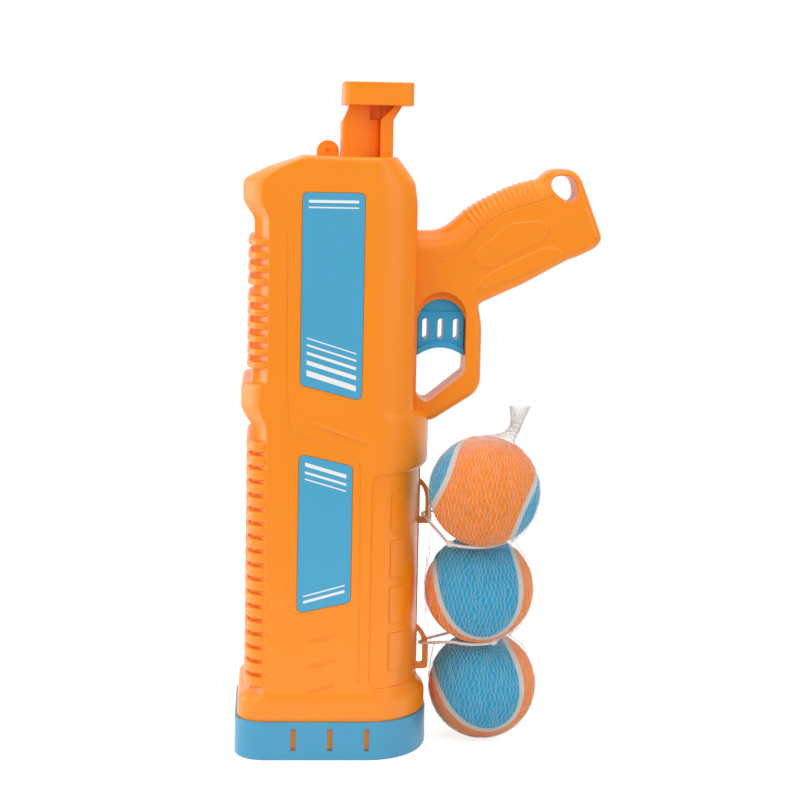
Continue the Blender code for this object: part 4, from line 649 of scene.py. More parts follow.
def cylinder(radius, start, end, steps=SMALL_STEPS):
    """A round bar between two points."""
    along = Vector(end) - Vector(start)
    turn = along.to_track_quat("Z", "Y").to_matrix().to_4x4()
    place = Matrix.Translation((Vector(start) + Vector(end)) / 2) @ turn
    bm = bmesh.new()
    bmesh.ops.create_cone(
        bm, cap_ends=True, segments=steps, radius1=radius, radius2=radius, depth=along.length, matrix=place
    )
    return from_bmesh(bm)


def bore_bar(radius, low, high, steps=ROUND_STEPS):
    """A round bar along the bore."""
    return cylinder(radius, (BORE_X, 0.0, low), (BORE_X, 0.0, high), steps)


def cross_bar(radius, x, z, near, far):
    """A round bar across the housing."""
    return cylinder(radius, (x, near, z), (x, far, z))


def turned(profile, x=BORE_X, steps=ROUND_STEPS):
    """A profile of radius and height, turned round the upright line at x."""
    mesh = bpy.data.meshes.new("profile")
    count = len(profile)
    closed = profile[0][0] > 0
    edges = [(index, (index + 1) % count) for index in range(count if closed else count - 1)]
    mesh.from_pydata([(radius, 0.0, height) for radius, height in profile], edges, [])
    item = link(mesh)
    item.location.x = x
    screw = item.modifiers.new("Turn", "SCREW")
    screw.steps = steps
    screw.render_steps = steps
    screw.use_merge_vertices = True
    screw.merge_threshold = MERGE
    return baked(item)


def tube(points, radius, closed=False, sides=2, tapers=None):
    """A round tube along a list of points, with each point's share of the radius."""
    curve = bpy.data.curves.new("path", "CURVE")
    curve.dimensions = "3D"
    curve.bevel_depth = radius
    curve.bevel_resolution = sides
    curve.use_fill_caps = True
    spline = curve.splines.new("POLY")
    spline.points.add(len(points) - 1)
    for point, place, taper in zip(spline.points, points, tapers or [1.0] * len(points)):
        point.co = (*place, 1.0)
        point.radius = taper
    spline.use_cyclic_u = closed
    return baked(link(curve))


def softened(item, width, segments=3):
    """Round an object's sharp edges."""
    bevel = item.modifiers.new("Round", "BEVEL")
    bevel.width = width
    bevel.segments = segments
    bevel.limit_method = "ANGLE"
    return baked(item)


def side_of(outline):
    """1 where an outline runs anticlockwise, -1 where it runs clockwise."""
    area = sum(a[0] * b[1] - b[0] * a[1] for a, b in zip(outline, outline[1:] + outline[:1]))
    return 1.0 if area > 0 else -1.0


def at_depth(outline, y):
    """An outline in X and Z, set at a depth."""
    return [(x, y, z) for x, z in outline]


def at_height(outline, z):
    """An outline in X and Y, set at a height."""
    return [(x, y, z) for x, y in outline]


def inward(outline):
    """The inward direction at each point of an outline, as long as keeps its sides parallel."""
    side = side_of(outline)
    directions = []
    for index, (x, z) in enumerate(outline):
        before = outline[index - 1]
        after = outline[(index + 1) % len(outline)]
        first = Vector((x - before[0], z - before[1])).normalized()
        second = Vector((after[0] - x, after[1] - z)).normalized()
        normal = Vector((-first.y - second.y, first.x + second.x)).normalized() * side
        directions.append(normal / max(normal.dot(Vector((-first.y, first.x)) * side), TIGHTEST_TURN))
    return directions


def inset(outline, amount):
    """An outline moved in by an amount, or by one for each point; a negative amount moves it out."""
    amounts = amount if isinstance(amount, list) else [amount] * len(outline)
    moved = []
    for (x, z), direction, reach in zip(outline, inward(outline), amounts):
        moved.append((x + direction.x * reach, z + direction.y * reach))
    return moved


def eased(points, reach, steps=EASE_STEPS, closed=False):
    """A line of points with each corner turned into a short curve of the given reach."""
    count = len(points)
    rounded = [] if closed else [Vector(points[0])]
    for index in range(0 if closed else 1, count if closed else count - 1):
        here = Vector(points[index])
        before = Vector(points[index - 1]) - here
        after = Vector(points[(index + 1) % count]) - here
        start = here + before * min(reach / max(before.length, MERGE), EASE_LIMIT)
        end = here + after * min(reach / max(after.length, MERGE), EASE_LIMIT)
        for step in range(steps + 1):
            share = step / steps
            rounded.append(start.lerp(here, share).lerp(here.lerp(end, share), share))
    if not closed:
        rounded.append(Vector(points[-1]))
    return [tuple(point) for point in rounded]


def filleted(outline, radius):
    """An outline with each corner rounded by an arc."""
    rounded = []
    for index, corner in enumerate(outline):
        here = Vector(corner)
        before = Vector(outline[index - 1]) - here
        after = Vector(outline[(index + 1) % len(outline)]) - here
        half = before.angle(after) / 2
        back = radius / sin(half) * cos(half)
        middle = here + (before.normalized() + after.normalized()).normalized() * (radius / sin(half))
        start = here + before.normalized() * back - middle
        end = here + after.normalized() * back - middle
        for step in range(CORNER_ARC_STEPS + 1):
            rounded.append(tuple(middle + start.slerp(end, step / CORNER_ARC_STEPS).normalized() * radius))
    return rounded


def rectangle(left, low, right, high):
    """The four corners of an upright rectangle."""
    return [(left, low), (right, low), (right, high), (left, high)]


def arc(centre, radius, start=0.0, end=pi, steps=ARCH_STEPS):
    """Points along a circle's arc, from one angle to another."""
    points = []
    for step in range(steps + 1):
        angle = fraction(start, end, step / steps)
        points.append((centre[0] + radius * cos(angle), centre[1] + radius * sin(angle)))
    return points


def corner_curve(eases_in, eases_out, fullness, steps):
    """Pairs of values round a corner, as full as given between a chord (0) and an ellipse (1)."""
    pairs = []
    for step in range(steps + 1):
        share = step / steps
        turn = share * pi / 2
        slow = fraction(fraction(*eases_in, share), fraction(eases_in[1], eases_in[0], cos(turn)), fullness)
        quick = fraction(fraction(*eases_out, share), fraction(*eases_out, sin(turn)), fullness)
        pairs.append((slow, quick))
    return pairs


def feed(made, inputs):
    """Give a node its inputs, each a value or another node's output."""
    for name, value in inputs.items():
        if isinstance(value, bpy.types.NodeSocket):
            made.id_data.links.new(value, made.inputs[name])
        else:
            made.inputs[name].default_value = value
    return made


def node(tree, kind, inputs=None, **settings):
    """Add a node with its settings and inputs."""
    made = tree.nodes.new(kind)
    for name, value in settings.items():
        setattr(made, name, value)
    return feed(made, inputs or {})


def geometry_tree(name, sizes):
    """A Geometry Nodes tree with a named input for each size."""
    tree = bpy.data.node_groups.new(name, "GeometryNodeTree")
    tree.interface.new_socket("Geometry", in_out="INPUT", socket_type="NodeSocketGeometry")
    for label, value in sizes.items():
        kind = "NodeSocketInt" if isinstance(value, int) else "NodeSocketFloat"
        tree.interface.new_socket(label, in_out="INPUT", socket_type=kind)
    tree.interface.new_socket("Geometry", in_out="OUTPUT", socket_type="NodeSocketGeometry")
    return tree, node(tree, "NodeGroupInput").outputs


def grown(item, tree, sizes):
    """An object turned into the mesh that a tree makes of it with these sizes."""
    modifier = item.modifiers.new(tree.name, "NODES")
    modifier.node_group = tree
    for socket in tree.interface.items_tree:
        if socket.name in sizes:
            modifier[socket.identifier] = sizes[socket.name]
    mesh = evaluated_mesh(item)
    item.modifiers.remove(modifier)
    item.data = mesh
    return item


def coated_output(tree, geometry, finish):
    """End a tree: its copies made real, with a finish."""
    real = node(tree, "GeometryNodeRealizeInstances", {"Geometry": geometry})
    coated = node(tree, "GeometryNodeSetMaterial", {"Geometry": real.outputs[0], "Material": finish})
    node(tree, "NodeGroupOutput", {"Geometry": coated.outputs[0]})


def row_tree(finish):
    """Copies of a shape in a straight row: their count, and the step from each to the next."""
    tree, given = geometry_tree("row", {"Count": 1, "Step X": 0.0, "Step Z": 0.0})
    step = node(tree, "ShaderNodeCombineXYZ", {"X": given["Step X"], "Z": given["Step Z"]})
    line = node(tree, "GeometryNodeMeshLine", {"Count": given["Count"], "Offset": step.outputs[0]})
    copies = node(
        tree, "GeometryNodeInstanceOnPoints", {"Points": line.outputs[0], "Instance": given["Geometry"]}
    )
    coated_output(tree, copies.outputs[0], finish)
    return tree


def row(item, count, x=0.0, z=0.0):
    """A row of copies of an object, each moved on from the last by x and z."""
    return grown(item, ROW_TREE, {"Count": count, "Step X": x, "Step Z": z})


def shrunk(sizes, wall):
    """The same section moved in by a wall's thickness."""
    return sizes._replace(
        left=sizes.left + wall, half=sizes.half - wall / 2, edge=sizes.edge + wall / 2,
        deep=sizes.deep - wall, corner_share=max(sizes.corner_share, 0.0), right=sizes.right - wall,
    )


def ring_plan(set_in):
    """The muzzle ring's section, moved in by the given amount."""
    return Plan(
        RING_LEFT + set_in, RING_HALF_DEPTH - RING_CORNER, RING_LEFT + RING_CORNER,
        RING_HALF_DEPTH - set_in, ROUND, RING_RIGHT - set_in, SEAM_FLAT, ROUND,
    )


def plan_loop(sizes, height, seam):
    """The near half of a section, from the seam on the left round to the seam on the right."""
    left = corner_curve((sizes.left, sizes.edge), (sizes.half, sizes.deep), sizes.corner_share, CORNER_STEPS)
    right = corner_curve(
        (sizes.deep, sizes.side_half), (FLAT_RIGHT, sizes.right), sizes.side_share, SIDE_STEPS
    )
    points = [(x, -y) for x, y in left]
    crease = eased(points[-2:] + [(FLAT_RIGHT, -sizes.deep)], FRONT_EDGE_BLUNT, EDGE_STEPS)[1:-1]
    points = [(sizes.left, seam)] + points[:-1] + crease + [(x, -y) for y, x in right]
    return at_height(points + [(sizes.right, seam)], height)


FLARE_PLAN = ring_plan(0.0)._replace(
    left=RING_LEFT + FLARE_LEFT_SET, deep=RING_HALF_DEPTH - FLARE_DEPTH_SET,
    right=RING_RIGHT - FLARE_RIGHT_SET,
)
LOWER_PLAN = Plan(
    COLUMN_LEFT, COLUMN_HALF, FRONT_EDGE, BODY_HALF_DEPTH, COLUMN_CORNER_SHARE, LOWER_RIGHT, SEAM_FLAT, ROUND
)
COLLAR_PLAN = LOWER_PLAN._replace(right=LOWER_RIGHT + COLLAR_REACH)
UPPER_PLAN = LOWER_PLAN._replace(right=UPPER_RIGHT, side_half=UPPER_SIDE_HALF, side_share=UPPER_SIDE_SHARE)


def toward_block(sizes, share):
    """A section whose left side has gone the given share of the way from the column to a block."""
    return sizes._replace(
        left=fraction(COLUMN_LEFT, BLOCK_LEFT, share), half=fraction(COLUMN_HALF, BLOCK_HALF, share),
        edge=fraction(FRONT_EDGE, BLOCK_EDGE, share),
        corner_share=fraction(COLUMN_CORNER_SHARE, BLOCK_CORNER_SHARE, share),
    )


def top_plan(left_share, right_share):
    """A section of the sloping rear end."""
    left = fraction(BLOCK_LEFT, TOP_LEFT, left_share)
    return UPPER_PLAN._replace(
        left=left, edge=left + fraction(BLOCK_EDGE - BLOCK_LEFT, TOP_CHAMFER, left_share),
        half=fraction(BLOCK_HALF, BODY_HALF_DEPTH - 2 * TOP_EDGE_SET, left_share),
        corner_share=BLOCK_CORNER_SHARE, right=fraction(UPPER_RIGHT, TOP_RIGHT, right_share),
    )


def outer_sections():
    """Height and section of each level of the housing's outside."""
    rebate = ring_plan(RING_WALL + GAP)
    levels = [
        (RING_FLOOR + GAP, rebate), (RING_HEIGHT + GAP - STEP / 2, rebate),
        (RING_HEIGHT + GAP, FLARE_PLAN), (FLARE_TOP, FLARE_PLAN),
        (FLARE_TOP + FLARE_SLOPE, LOWER_PLAN), (COLLAR_LOW, LOWER_PLAN),
        (COLLAR_LOW + COLLAR_RAMP, COLLAR_PLAN), (MID_BLOCK_TOP + STEP, UPPER_PLAN),
    ]
    for low, start in ((MID_BLOCK_LOW, COLLAR_PLAN), (TOP_BLOCK_LOW, UPPER_PLAN)):
        for rise, share in RAMP_SHARES:
            level = start if rise < 1.0 else UPPER_PLAN
            levels.append((low + BLOCK_RAMP * rise, toward_block(level, share)))
    for below, share in LEDGE_SHARES:
        levels.append((MID_BLOCK_TOP - below, toward_block(UPPER_PLAN, share)))
    for rise, *shares in TOP_SHARES:
        deep = BODY_HALF_DEPTH - (TOP_EDGE_SET if rise == 1.0 else 0.0)
        levels.append((fraction(TOP_BLOCK_TOP, BODY_TOP, rise), top_plan(*shares)._replace(deep=deep)))
    return sorted(levels)


def inner_sections():
    """Height and section of each level of the hollow inside."""
    lower = shrunk(LOWER_PLAN, WALL)
    upper = shrunk(UPPER_PLAN, WALL)
    levels = [
        (-OVERRUN, lower), (COLLAR_TOP - COLLAR_SHOULDER, lower), (COLLAR_TOP, upper),
        (TOP_BLOCK_TOP - 2 * WALL, upper),
    ]
    for rise, *shares in TOP_SHARES[1:]:
        levels.append((fraction(TOP_BLOCK_TOP, BODY_TOP, rise) - WALL, shrunk(top_plan(*shares), WALL)))
    return levels


def grip_point(shares):
    """A place on the grip, from its shares of the reach and the rise."""
    return (UPPER_RIGHT + GRIP_REACH * shares[0], GRIP_ROOT_LOW + GRIP_RISE * shares[1])


GUARD_RIGHT = GUARD_LEFT + GUARD_WIDTH
GUARD_OUTSIDE = GUARD_RIGHT + GUARD_BAR
GUARD_FOOT = GUARD_LOW - GUARD_HEEL
GUARD_SHARES = [(0.967, 0.074), (1.0, 0.184), (1.0, 0.679), (0.919, 0.765), (0.519, 0.916), (0.302, 1.0)]
SEAM = -GAP / 2
SHELL_END = OVERRUN * 0.8
PAST_SEAM = OVERRUN * 0.6
BOSS_END = OVERRUN * 0.4
OUTSIDE = -(BODY_HALF_DEPTH + OVERRUN)
RETAINER_LOW = RING_FLOOR + GAP
BARREL_LOW = RETAINER_LOW + RETAINER_THICK + GAP
SEAT_TOP = SEAT_LOW + SEAT_THICK
LEDGE_LOW = SEAR_TAIL_LOW + SEAR_TAIL_THICK + SEAR_SPRING_LENGTH + 2 * GAP
TRIGGER_LEFT = GUARD_LEFT + 2 * PIN_CLEARANCE
TRIGGER_RIGHT = GUARD_RIGHT - 2 * PIN_CLEARANCE
TRIGGER_X = (GUARD_LEFT + GUARD_RIGHT) / 2
SCREW_HOLE_R = SCREW_R + PIN_CLEARANCE
SCREW_SINK_R = SCREW_HEAD_R + 2 * PIN_CLEARANCE


def handle_outline():
    """The side outline of the grip and the guard, from the rear of the root round to its front."""
    root = UPPER_RIGHT - 2 * GRIP_EDGE
    points = [(root, grip_point(GRIP_TOP_SHARES[0])[1])]
    points += [grip_point(shares) for shares in GRIP_TOP_SHARES]
    for across, down in GUARD_SHARES:
        points.append((
            fraction(UPPER_RIGHT, GUARD_OUTSIDE, across), fraction(GRIP_ROOT_LOW, GUARD_FOOT, down),
        ))
    points.append((root, GUARD_FOOT))
    return points


def guard_outline(drop):
    """The opening for the finger, its arch lowered by drop."""
    radius = GUARD_WIDTH / 2
    points = arc((GUARD_LEFT + radius, GUARD_ARCH_CENTRE - drop), radius)
    side = GUARD_ARCH_CENTRE - 2 * drop
    foot = [
        (GUARD_LEFT, side), (GUARD_LEFT, GUARD_LOW + GUARD_CHAMFER), (GUARD_LEFT + GUARD_CHAMFER, GUARD_LOW),
        (GUARD_LEFT + GUARD_CHAMFER + GUARD_FOOT_WIDTH, GUARD_LOW),
        (GUARD_RIGHT, GUARD_LOW + GUARD_CORNER_RISE), (GUARD_RIGHT, side),
    ]
    return points + eased(foot, GUARD_CHAMFER / 2)[1:-1]


def lanyard_way():
    """The hole in the heel of the grip, with a rounded lip."""
    outline = eased(LANYARD_HOLE, LANYARD_EASE, EDGE_STEPS, closed=True)
    loops = [at_depth(inset(outline, -LANYARD_LIP), -GRIP_HALF - OVERRUN)]
    for turn in QUARTER_STEPS:
        moved = inset(outline, -LANYARD_LIP * (1 - sin(turn)))
        loops.append(at_depth(moved, -GRIP_HALF + LANYARD_LIP * (1 - cos(turn))))
    return loft(loops + [at_depth(outline, OVERRUN)])


def grip_solid():
    """The grip and guard: a wide round back, and small edges elsewhere."""
    outline = eased(handle_outline(), GRIP_EASE, closed=True)
    fade = [grip_point((share, 0.0))[0] for share in BACK_FADE]
    back = []
    for (x, z), direction in zip(outline, inward(outline)):
        faces_back = smooth_share(-direction.normalized().y, *BACK_TURN)
        above = 1.0 if z > GRIP_ROOT_LOW else 0.0
        back.append(faces_back * above * (1 - smooth_share(x, *fade)))
    loops = []
    for turn in QUARTER_STEPS:
        widths = [fraction(GRIP_EDGE, BACK_WIDTH, share) * (1 - sin(turn)) for share in back]
        drops = [fraction(GRIP_EDGE, BACK_DROP, share) * (1 - cos(turn)) for share in back]
        loops.append([(x, -GRIP_HALF + drop, z) for (x, z), drop in zip(inset(outline, widths), drops)])
    return loft(loops + [at_depth(outline, PAST_SEAM)])


def section_outline(sizes, seam):
    """A section's near half as an outline in X and Y."""
    return [(x, y) for x, y, _ in plan_loop(sizes, 0.0, seam)]


def whole_outline(sizes):
    """A section's near and far half together, as an outline in X and Y."""
    near = section_outline(sizes, 0.0)[1:-1]
    return near + [(x, -y) for x, y in reversed(near)]


def body_ribs():
    """The ribs across the launcher's top."""
    root = RIB_TIP + RIB_ROOT
    bend = corner_curve((RIB_TIP, RIB_END), (RIB_FLAT_HALF, RIB_HALF), ROUND, CORNER_STEPS)
    bend = [(x, -y) for x, y in bend]
    inside = [(RIB_END + WALL / 2, STEP - RIB_HALF), (root + WALL / 2, -RIB_FLAT_HALF), (root, PAST_SEAM)]
    outline = [(RIB_TIP, PAST_SEAM)] + bend + inside
    ribs = []
    for first, pitch, count, height, edge in RIBS:
        low = [
            (first - height / 2 + edge * (1 - sin(turn)), edge * (1 - cos(turn)))
            for turn in reversed(QUARTER_STEPS)
        ]
        loops = []
        for z, moved in low + [(2 * first - z, moved) for z, moved in reversed(low)]:
            reach = [moved] * (len(bend) + 1) + [0.0] * len(inside)
            loops.append(at_height(inset(outline, reach), z))
        ribs.append(row(loft(loops), count, z=pitch))
    return group(*ribs)


def strap_rib(top, down):
    """One gripping rib, from the seam over the round back of the grip and down its side."""
    sunk = STRAP_RIB_R - STRAP_RIB_PROUD
    places = [(sunk, PAST_SEAM, 1.0), (sunk, 0.0, 1.0)]
    for step in range(STRAP_RIB_STEPS + 1):
        share = step / STRAP_RIB_STEPS
        turn = radians(fraction(90.0, STRAP_RIB_TURN, share))
        normal = Vector((sin(turn) / BACK_WIDTH, cos(turn) / BACK_DROP)).normalized()
        taper = fraction(1.0, STRAP_TIP_SHARE, smooth_share(share, STRAP_TAPER_START, 1.0))
        deep = BACK_WIDTH * (1 - sin(turn)) + normal.x * sunk * taper
        side = BACK_DROP * (1 - cos(turn)) - GRIP_HALF + normal.y * sunk * taper
        places.append((deep, side, taper))
    points = [(top[0] + down.x * deep, side, top[1] + down.y * deep) for deep, side, _ in places]
    return tube(points, STRAP_RIB_R, sides=3, tapers=[place[-1] for place in places])


def strap_ribs():
    """The gripping ribs, evenly spaced along the back of the grip."""
    outline = eased(handle_outline(), GRIP_EASE, closed=True)
    low, high = [grip_point((share, 0.0))[0] for share in (STRAP_START_SHARE, STRAP_END_SHARE)]
    level = grip_point(GRIP_TOP_SHARES[0])[1]
    back = [
        (Vector(place), direction) for place, direction in zip(outline, inward(outline))
        if low < place[0] < high and place[1] > level
    ]
    lengths = [0.0]
    for (here, _), (there, _) in zip(back, back[1:]):
        lengths.append(lengths[-1] + (there - here).length)
    ribs = []
    for index in range(STRAP_RIBS):
        along = lengths[-1] * (index + 0.5) / STRAP_RIBS
        before = max(count for count, length in enumerate(lengths[:-1]) if length <= along)
        share = (along - lengths[before]) / (lengths[before + 1] - lengths[before])
        top, down = [start.lerp(end, share) for start, end in zip(back[before], back[before + 1])]
        ribs.append(strap_rib(top, down.normalized()))
    return group(*ribs)


def raised_panel(outline):
    """A low panel with sloping sides on the near face of the grip."""
    foot = eased(outline, PANEL_EASE, closed=True)
    loops = [at_depth(foot, -GRIP_HALF + WALL / 2)]
    for share in PANEL_LEVELS:
        turn = share * pi / 2
        moved = inset(foot, PANEL_SLOPE * (1 - cos(turn)))
        loops.append(at_depth(moved, -GRIP_HALF - PANEL_PROUD * sin(turn)))
    return loft(loops)


def loop_bend(left, low, width, height):
    """The bent upper side of a sling loop, or of its hole."""
    return [(left + width * across, low + height * up) for across, up in LOOP_BEND_SHARES]


def sling_loop(low):
    """One sling loop on the seam of the lower housing."""
    reach = LOWER_RIGHT + LOOP_REACH
    root = LOWER_RIGHT - LOOP_ROOT
    bend = loop_bend(LOWER_RIGHT, low, LOOP_REACH, LOOP_HEIGHT)
    outer = eased([(root, low + LOOP_HEIGHT)] + bend + [(reach, low), (root, low)], LOOP_EASE)
    left = LOWER_RIGHT + GAP
    foot = low + LOOP_BAR
    hole = loop_bend(left, foot, LOOP_REACH - LOOP_BAR - GAP, LOOP_HEIGHT - 2 * LOOP_BAR)
    hole = eased(hole + [(reach - LOOP_BAR, foot), (left, foot)], LOOP_EASE / 2, closed=True)
    loop = plate(outer, -LOOP_HALF, PAST_SEAM)
    cut(loop, plate(hole, -LOOP_HALF - OVERRUN, OVERRUN))
    return softened(loop, LOOP_EDGE)


def lug():
    """The round lug on the rear end, with its dimple."""
    centre = (LUG_X, BODY_TOP + LUG_RISE)
    foot = BODY_TOP - WALL / 2
    outline = arc(centre, LUG_R, steps=LUG_STEPS) + [(LUG_X - LUG_R, foot), (LUG_X + LUG_R, foot)]
    disc = softened(plate(outline, -LUG_HALF, PAST_SEAM), LUG_EDGE)
    dimple = arc(centre, LUG_DIMPLE_R, end=2 * pi, steps=LUG_STEPS)[:-1]
    return cut(disc, plate(dimple, -LUG_HALF - OVERRUN, LUG_DIMPLE_DEPTH - LUG_HALF))


def handle_hollow():
    """The space inside the grip and the guard, less the solid places round the two openings."""
    x, z = grip_point(LANYARD_SHARES)
    radius = LANYARD_HOLE_R + LANYARD_RIM
    high = GRIP_ROOT_LOW + GRIP_RISE + OVERRUN
    rim = arc((x, z), radius, pi, 2 * pi) + [(x + radius, high), (x - radius, high)]
    hollow = plate(inset(handle_outline(), BACK_DROP / 2), (WALL - GRIP_HALF) / 2, OVERRUN)
    solids = [inset(guard_outline(0.0), -GUARD_RIM), rim]
    return cut(hollow, *[plate(outline, -GRIP_HALF, 2 * OVERRUN) for outline in solids])


def trigger_way():
    """The space that the trigger and its ear slide in."""
    half = TRIGGER_HALF + RUNNING_GAP
    top = TRIGGER_TOP + HAND_PULL + RUNNING_GAP
    ear_low = TRIGGER_TOP - EAR_HEIGHT - RUNNING_GAP
    ear_right = TRIGGER_RIGHT + EAR_REACH + RUNNING_GAP
    way = box((GUARD_LEFT, -half, GUARD_ARCH_CENTRE - GUARD_WEB_SET), (GUARD_RIGHT, half, top))
    return join(way, box((TRIGGER_X, -half, ear_low), (ear_right, half, top)))


def window():
    """The sunk panel of the lower side, less its pads."""
    right = LOWER_RIGHT + WINDOW_CORNER + OVERRUN
    outline = filleted(rectangle(WINDOW_LEFT, WINDOW_LOW, right, WINDOW_TOP), WINDOW_CORNER)
    inside = section_outline(shrunk(LOWER_PLAN, SKIN_CUT), OVERRUN)
    right = PAD_LEFT + PAD_WIDTH
    top = PAD_LOW + PAD_HEIGHT
    pad = [(PAD_LEFT, PAD_LOW), (right - PAD_SLANT, PAD_LOW), (right, PAD_LOW + PAD_SLANT), (right, top)]
    pad = eased(pad + [(PAD_LEFT, top)], PAD_CORNER, closed=True)
    return cut(
        plate(outline, OUTSIDE, -WINDOW_SEAM_SET), slab(inside, WINDOW_LOW - OVERRUN, WINDOW_TOP + OVERRUN),
        row(plate(pad, OUTSIDE - OVERRUN, 0.0), WINDOW_PADS, z=PAD_PITCH),
    )


def face_cuts():
    """The label pockets and the three slanting marks."""
    cuts = []
    for _, corners, _ in LABELS:
        pocket = inset(filleted(corners, LABEL_CORNER), -GAP)
        cuts.append(plate(pocket, OUTSIDE, LABEL_SUNK - BODY_HALF_DEPTH))
    right = MARK_LEFT + MARK_LENGTH
    high = MARK_LOW + MARK_RISE
    mark = [(MARK_LEFT, MARK_LOW), (right, high), (right, high + MARK_THICK)]
    mark.append((MARK_LEFT, MARK_LOW + MARK_THICK))
    mark = plate(eased(mark, MARK_THICK / 2, closed=True), OUTSIDE, MARK_DEPTH - BODY_HALF_DEPTH)
    return group(*cuts, row(mark, MARKS, z=MARK_PITCH))


def face_ridge():
    """The slanting bead above the collar, which fades out at both ends."""
    points = []
    for step in range(RIDGE_STEPS + 1):
        share = step / RIDGE_STEPS
        x, z = [fraction(start, end, share) for start, end in zip(*RIDGE)]
        points.append((x, -BODY_HALF_DEPTH - RIDGE_PROUD * sin(share * pi) + RIDGE_R, z))
    return tube(points, RIDGE_R, sides=4)


def bulkhead(sizes, low, radius):
    """A wall across the inside of the near half, with half of a round hole."""
    high = low + RIB_WALL
    wall = slab(section_outline(shrunk(sizes, WALL / 2), PAST_SEAM), low, high)
    return cut(wall, bore_bar(radius, low - OVERRUN, high + OVERRUN))


def stem_way():
    """The opening that the handle's stem slides in."""
    low = STEM_GUIDE_LOW - OVERRUN
    high = BODY_TOP + OVERRUN
    web = box(
        (STEM_LEFT - RUNNING_GAP, -STEM_WEB_HALF - RUNNING_GAP, low),
        (STEM_RIB_LEFT + RUNNING_GAP, OVERRUN, high),
    )
    return join(web, box(
        (STEM_RIB_LEFT - RUNNING_GAP, -STEM_RIB_HALF - RUNNING_GAP, low - OVERRUN),
        (STEM_RIB_RIGHT + RUNNING_GAP, 2 * OVERRUN, high + OVERRUN),
    ))


def pin_boss():
    """The boss for one end of the lever's pivot, kept within the curved wall."""
    boss = cross_bar(SEAR_BOSS_R, SEAR_X, SEAR_Z, -BODY_HALF_DEPTH, -SEAR_HALF - GAP)
    outline = section_outline(shrunk(UPPER_PLAN, WALL / 2), PAST_SEAM)
    inside = slab(outline, SEAR_Z - 2 * SEAR_BOSS_R, SEAR_Z + 2 * SEAR_BOSS_R)
    return combine(boss, inside, "INTERSECT")


def screw_places():
    """Where the screws go, in X and Z, with the inner wall's depth there."""
    places = [
        (BODY_SCREW_X, BODY_SCREW_FIRST + index * BODY_SCREW_PITCH, BODY_HALF_DEPTH - WALL / 2)
        for index in range(BODY_SCREWS)
    ]
    for shares in GRIP_SCREW_SHARES:
        places.append((*grip_point(shares), GRIP_HALF - WALL / 2))
    return places


def near_half():
    """The near half of the housing, before its screw holes."""
    columns = zip(*[plan_loop(sizes, height, SHELL_END) for height, sizes in outer_sections()])
    shell = loft(list(zip(*[eased(list(column), LEVEL_REACH, LEVEL_STEPS) for column in columns])))
    join(
        shell, grip_solid(), body_ribs(), strap_ribs(), raised_panel(THUMB_PANEL), raised_panel(FRONT_LIP),
        face_ridge(), group(sling_loop(UPPER_LOOP_LOW), sling_loop(LOWER_LOOP_LOW)), lug(),
    )
    beyond = -GRIP_HALF - OVERRUN
    face_line = eased(GROOVE_PATH, GROOVE_REACH, EDGE_STEPS)
    cut(
        shell,
        loft([plan_loop(sizes, height, OVERRUN) for height, sizes in inner_sections()]),
        handle_hollow(),
        plate(guard_outline(GUARD_WEB_SET), beyond, OVERRUN),
        plate(guard_outline(0.0), beyond, GUARD_WEB_DEPTH - GRIP_HALF),
        lanyard_way(),
        trigger_way(),
        window(),
        face_cuts(),
        tube(at_depth(face_line, -BODY_HALF_DEPTH - GROOVE_PROUD), GROOVE_R),
        tube(at_depth(eased(STRAP_GROOVE, GRIP_EASE), -GRIP_HALF - STRAP_GROOVE_PROUD), STRAP_GROOVE_R),
    )
    for index in range(BULKHEADS):
        join(shell, bulkhead(LOWER_PLAN, BULKHEAD_FIRST + index * BULKHEAD_PITCH, BARREL_R + GAP))
    join(
        shell,
        bulkhead(LOWER_PLAN, BARREL_TOP + GAP, BARREL_STOP_R),
        bulkhead(UPPER_PLAN, SEAT_TOP + GAP, SEAT_BUSH_R + GAP),
        bulkhead(UPPER_PLAN, STEM_GUIDE_LOW, ROD_R),
        *[cross_bar(BOSS_R, x, z, -deep, BOSS_END) for x, z, deep in screw_places()],
        pin_boss(),
        box(
            (SEAR_SPRING_X - SPRING_LEDGE_HALF, WALL / 2 - GRIP_HALF, LEDGE_LOW),
            (SEAR_SPRING_X + SPRING_LEDGE_HALF, BOSS_END, LEDGE_LOW + SPRING_LEDGE_THICK),
        ),
    )
    far_corner = (UPPER_RIGHT + GRIP_REACH + OVERRUN, OVERRUN, BAR_LOW)
    return cut(
        shell,
        stem_way(),
        cross_bar(SEAR_PIN_R + PIN_CLEARANCE, SEAR_X, SEAR_Z, -SEAR_PIN_HALF - PIN_CLEARANCE, OVERRUN),
        box((RING_LEFT - OVERRUN, SEAM, -OVERRUN), far_corner),
    )


def mirrored(item):
    """A copy of an object on the other side of the seam."""
    mesh = item.data.copy()
    mesh.transform(Matrix.Scale(-1.0, 4, (0.0, 1.0, 0.0)))
    bm = bmesh.new()
    bm.from_mesh(mesh)
    return from_bmesh(bm)


def housing_halves():
    """Both halves: pilot holes in the left one, sunk clearance holes in the right one."""
    left = near_half()
    right = mirrored(left)
    tip = SCREW_SEAT - SCREW_LENGTH - RUNNING_GAP
    pilots = []
    holes = []
    for x, z, _ in screw_places():
        pilots.append(cross_bar(SCREW_HOLE_R, x, z, tip, OVERRUN))
        hole = cross_bar(SCREW_HOLE_R, x, z, -OVERRUN, SCREW_SEAT + OVERRUN)
        holes.append(join(hole, cross_bar(SCREW_SINK_R, x, z, SCREW_SEAT - GAP, -OUTSIDE)))
    return cut(left, group(*pilots)), cut(right, group(*holes))


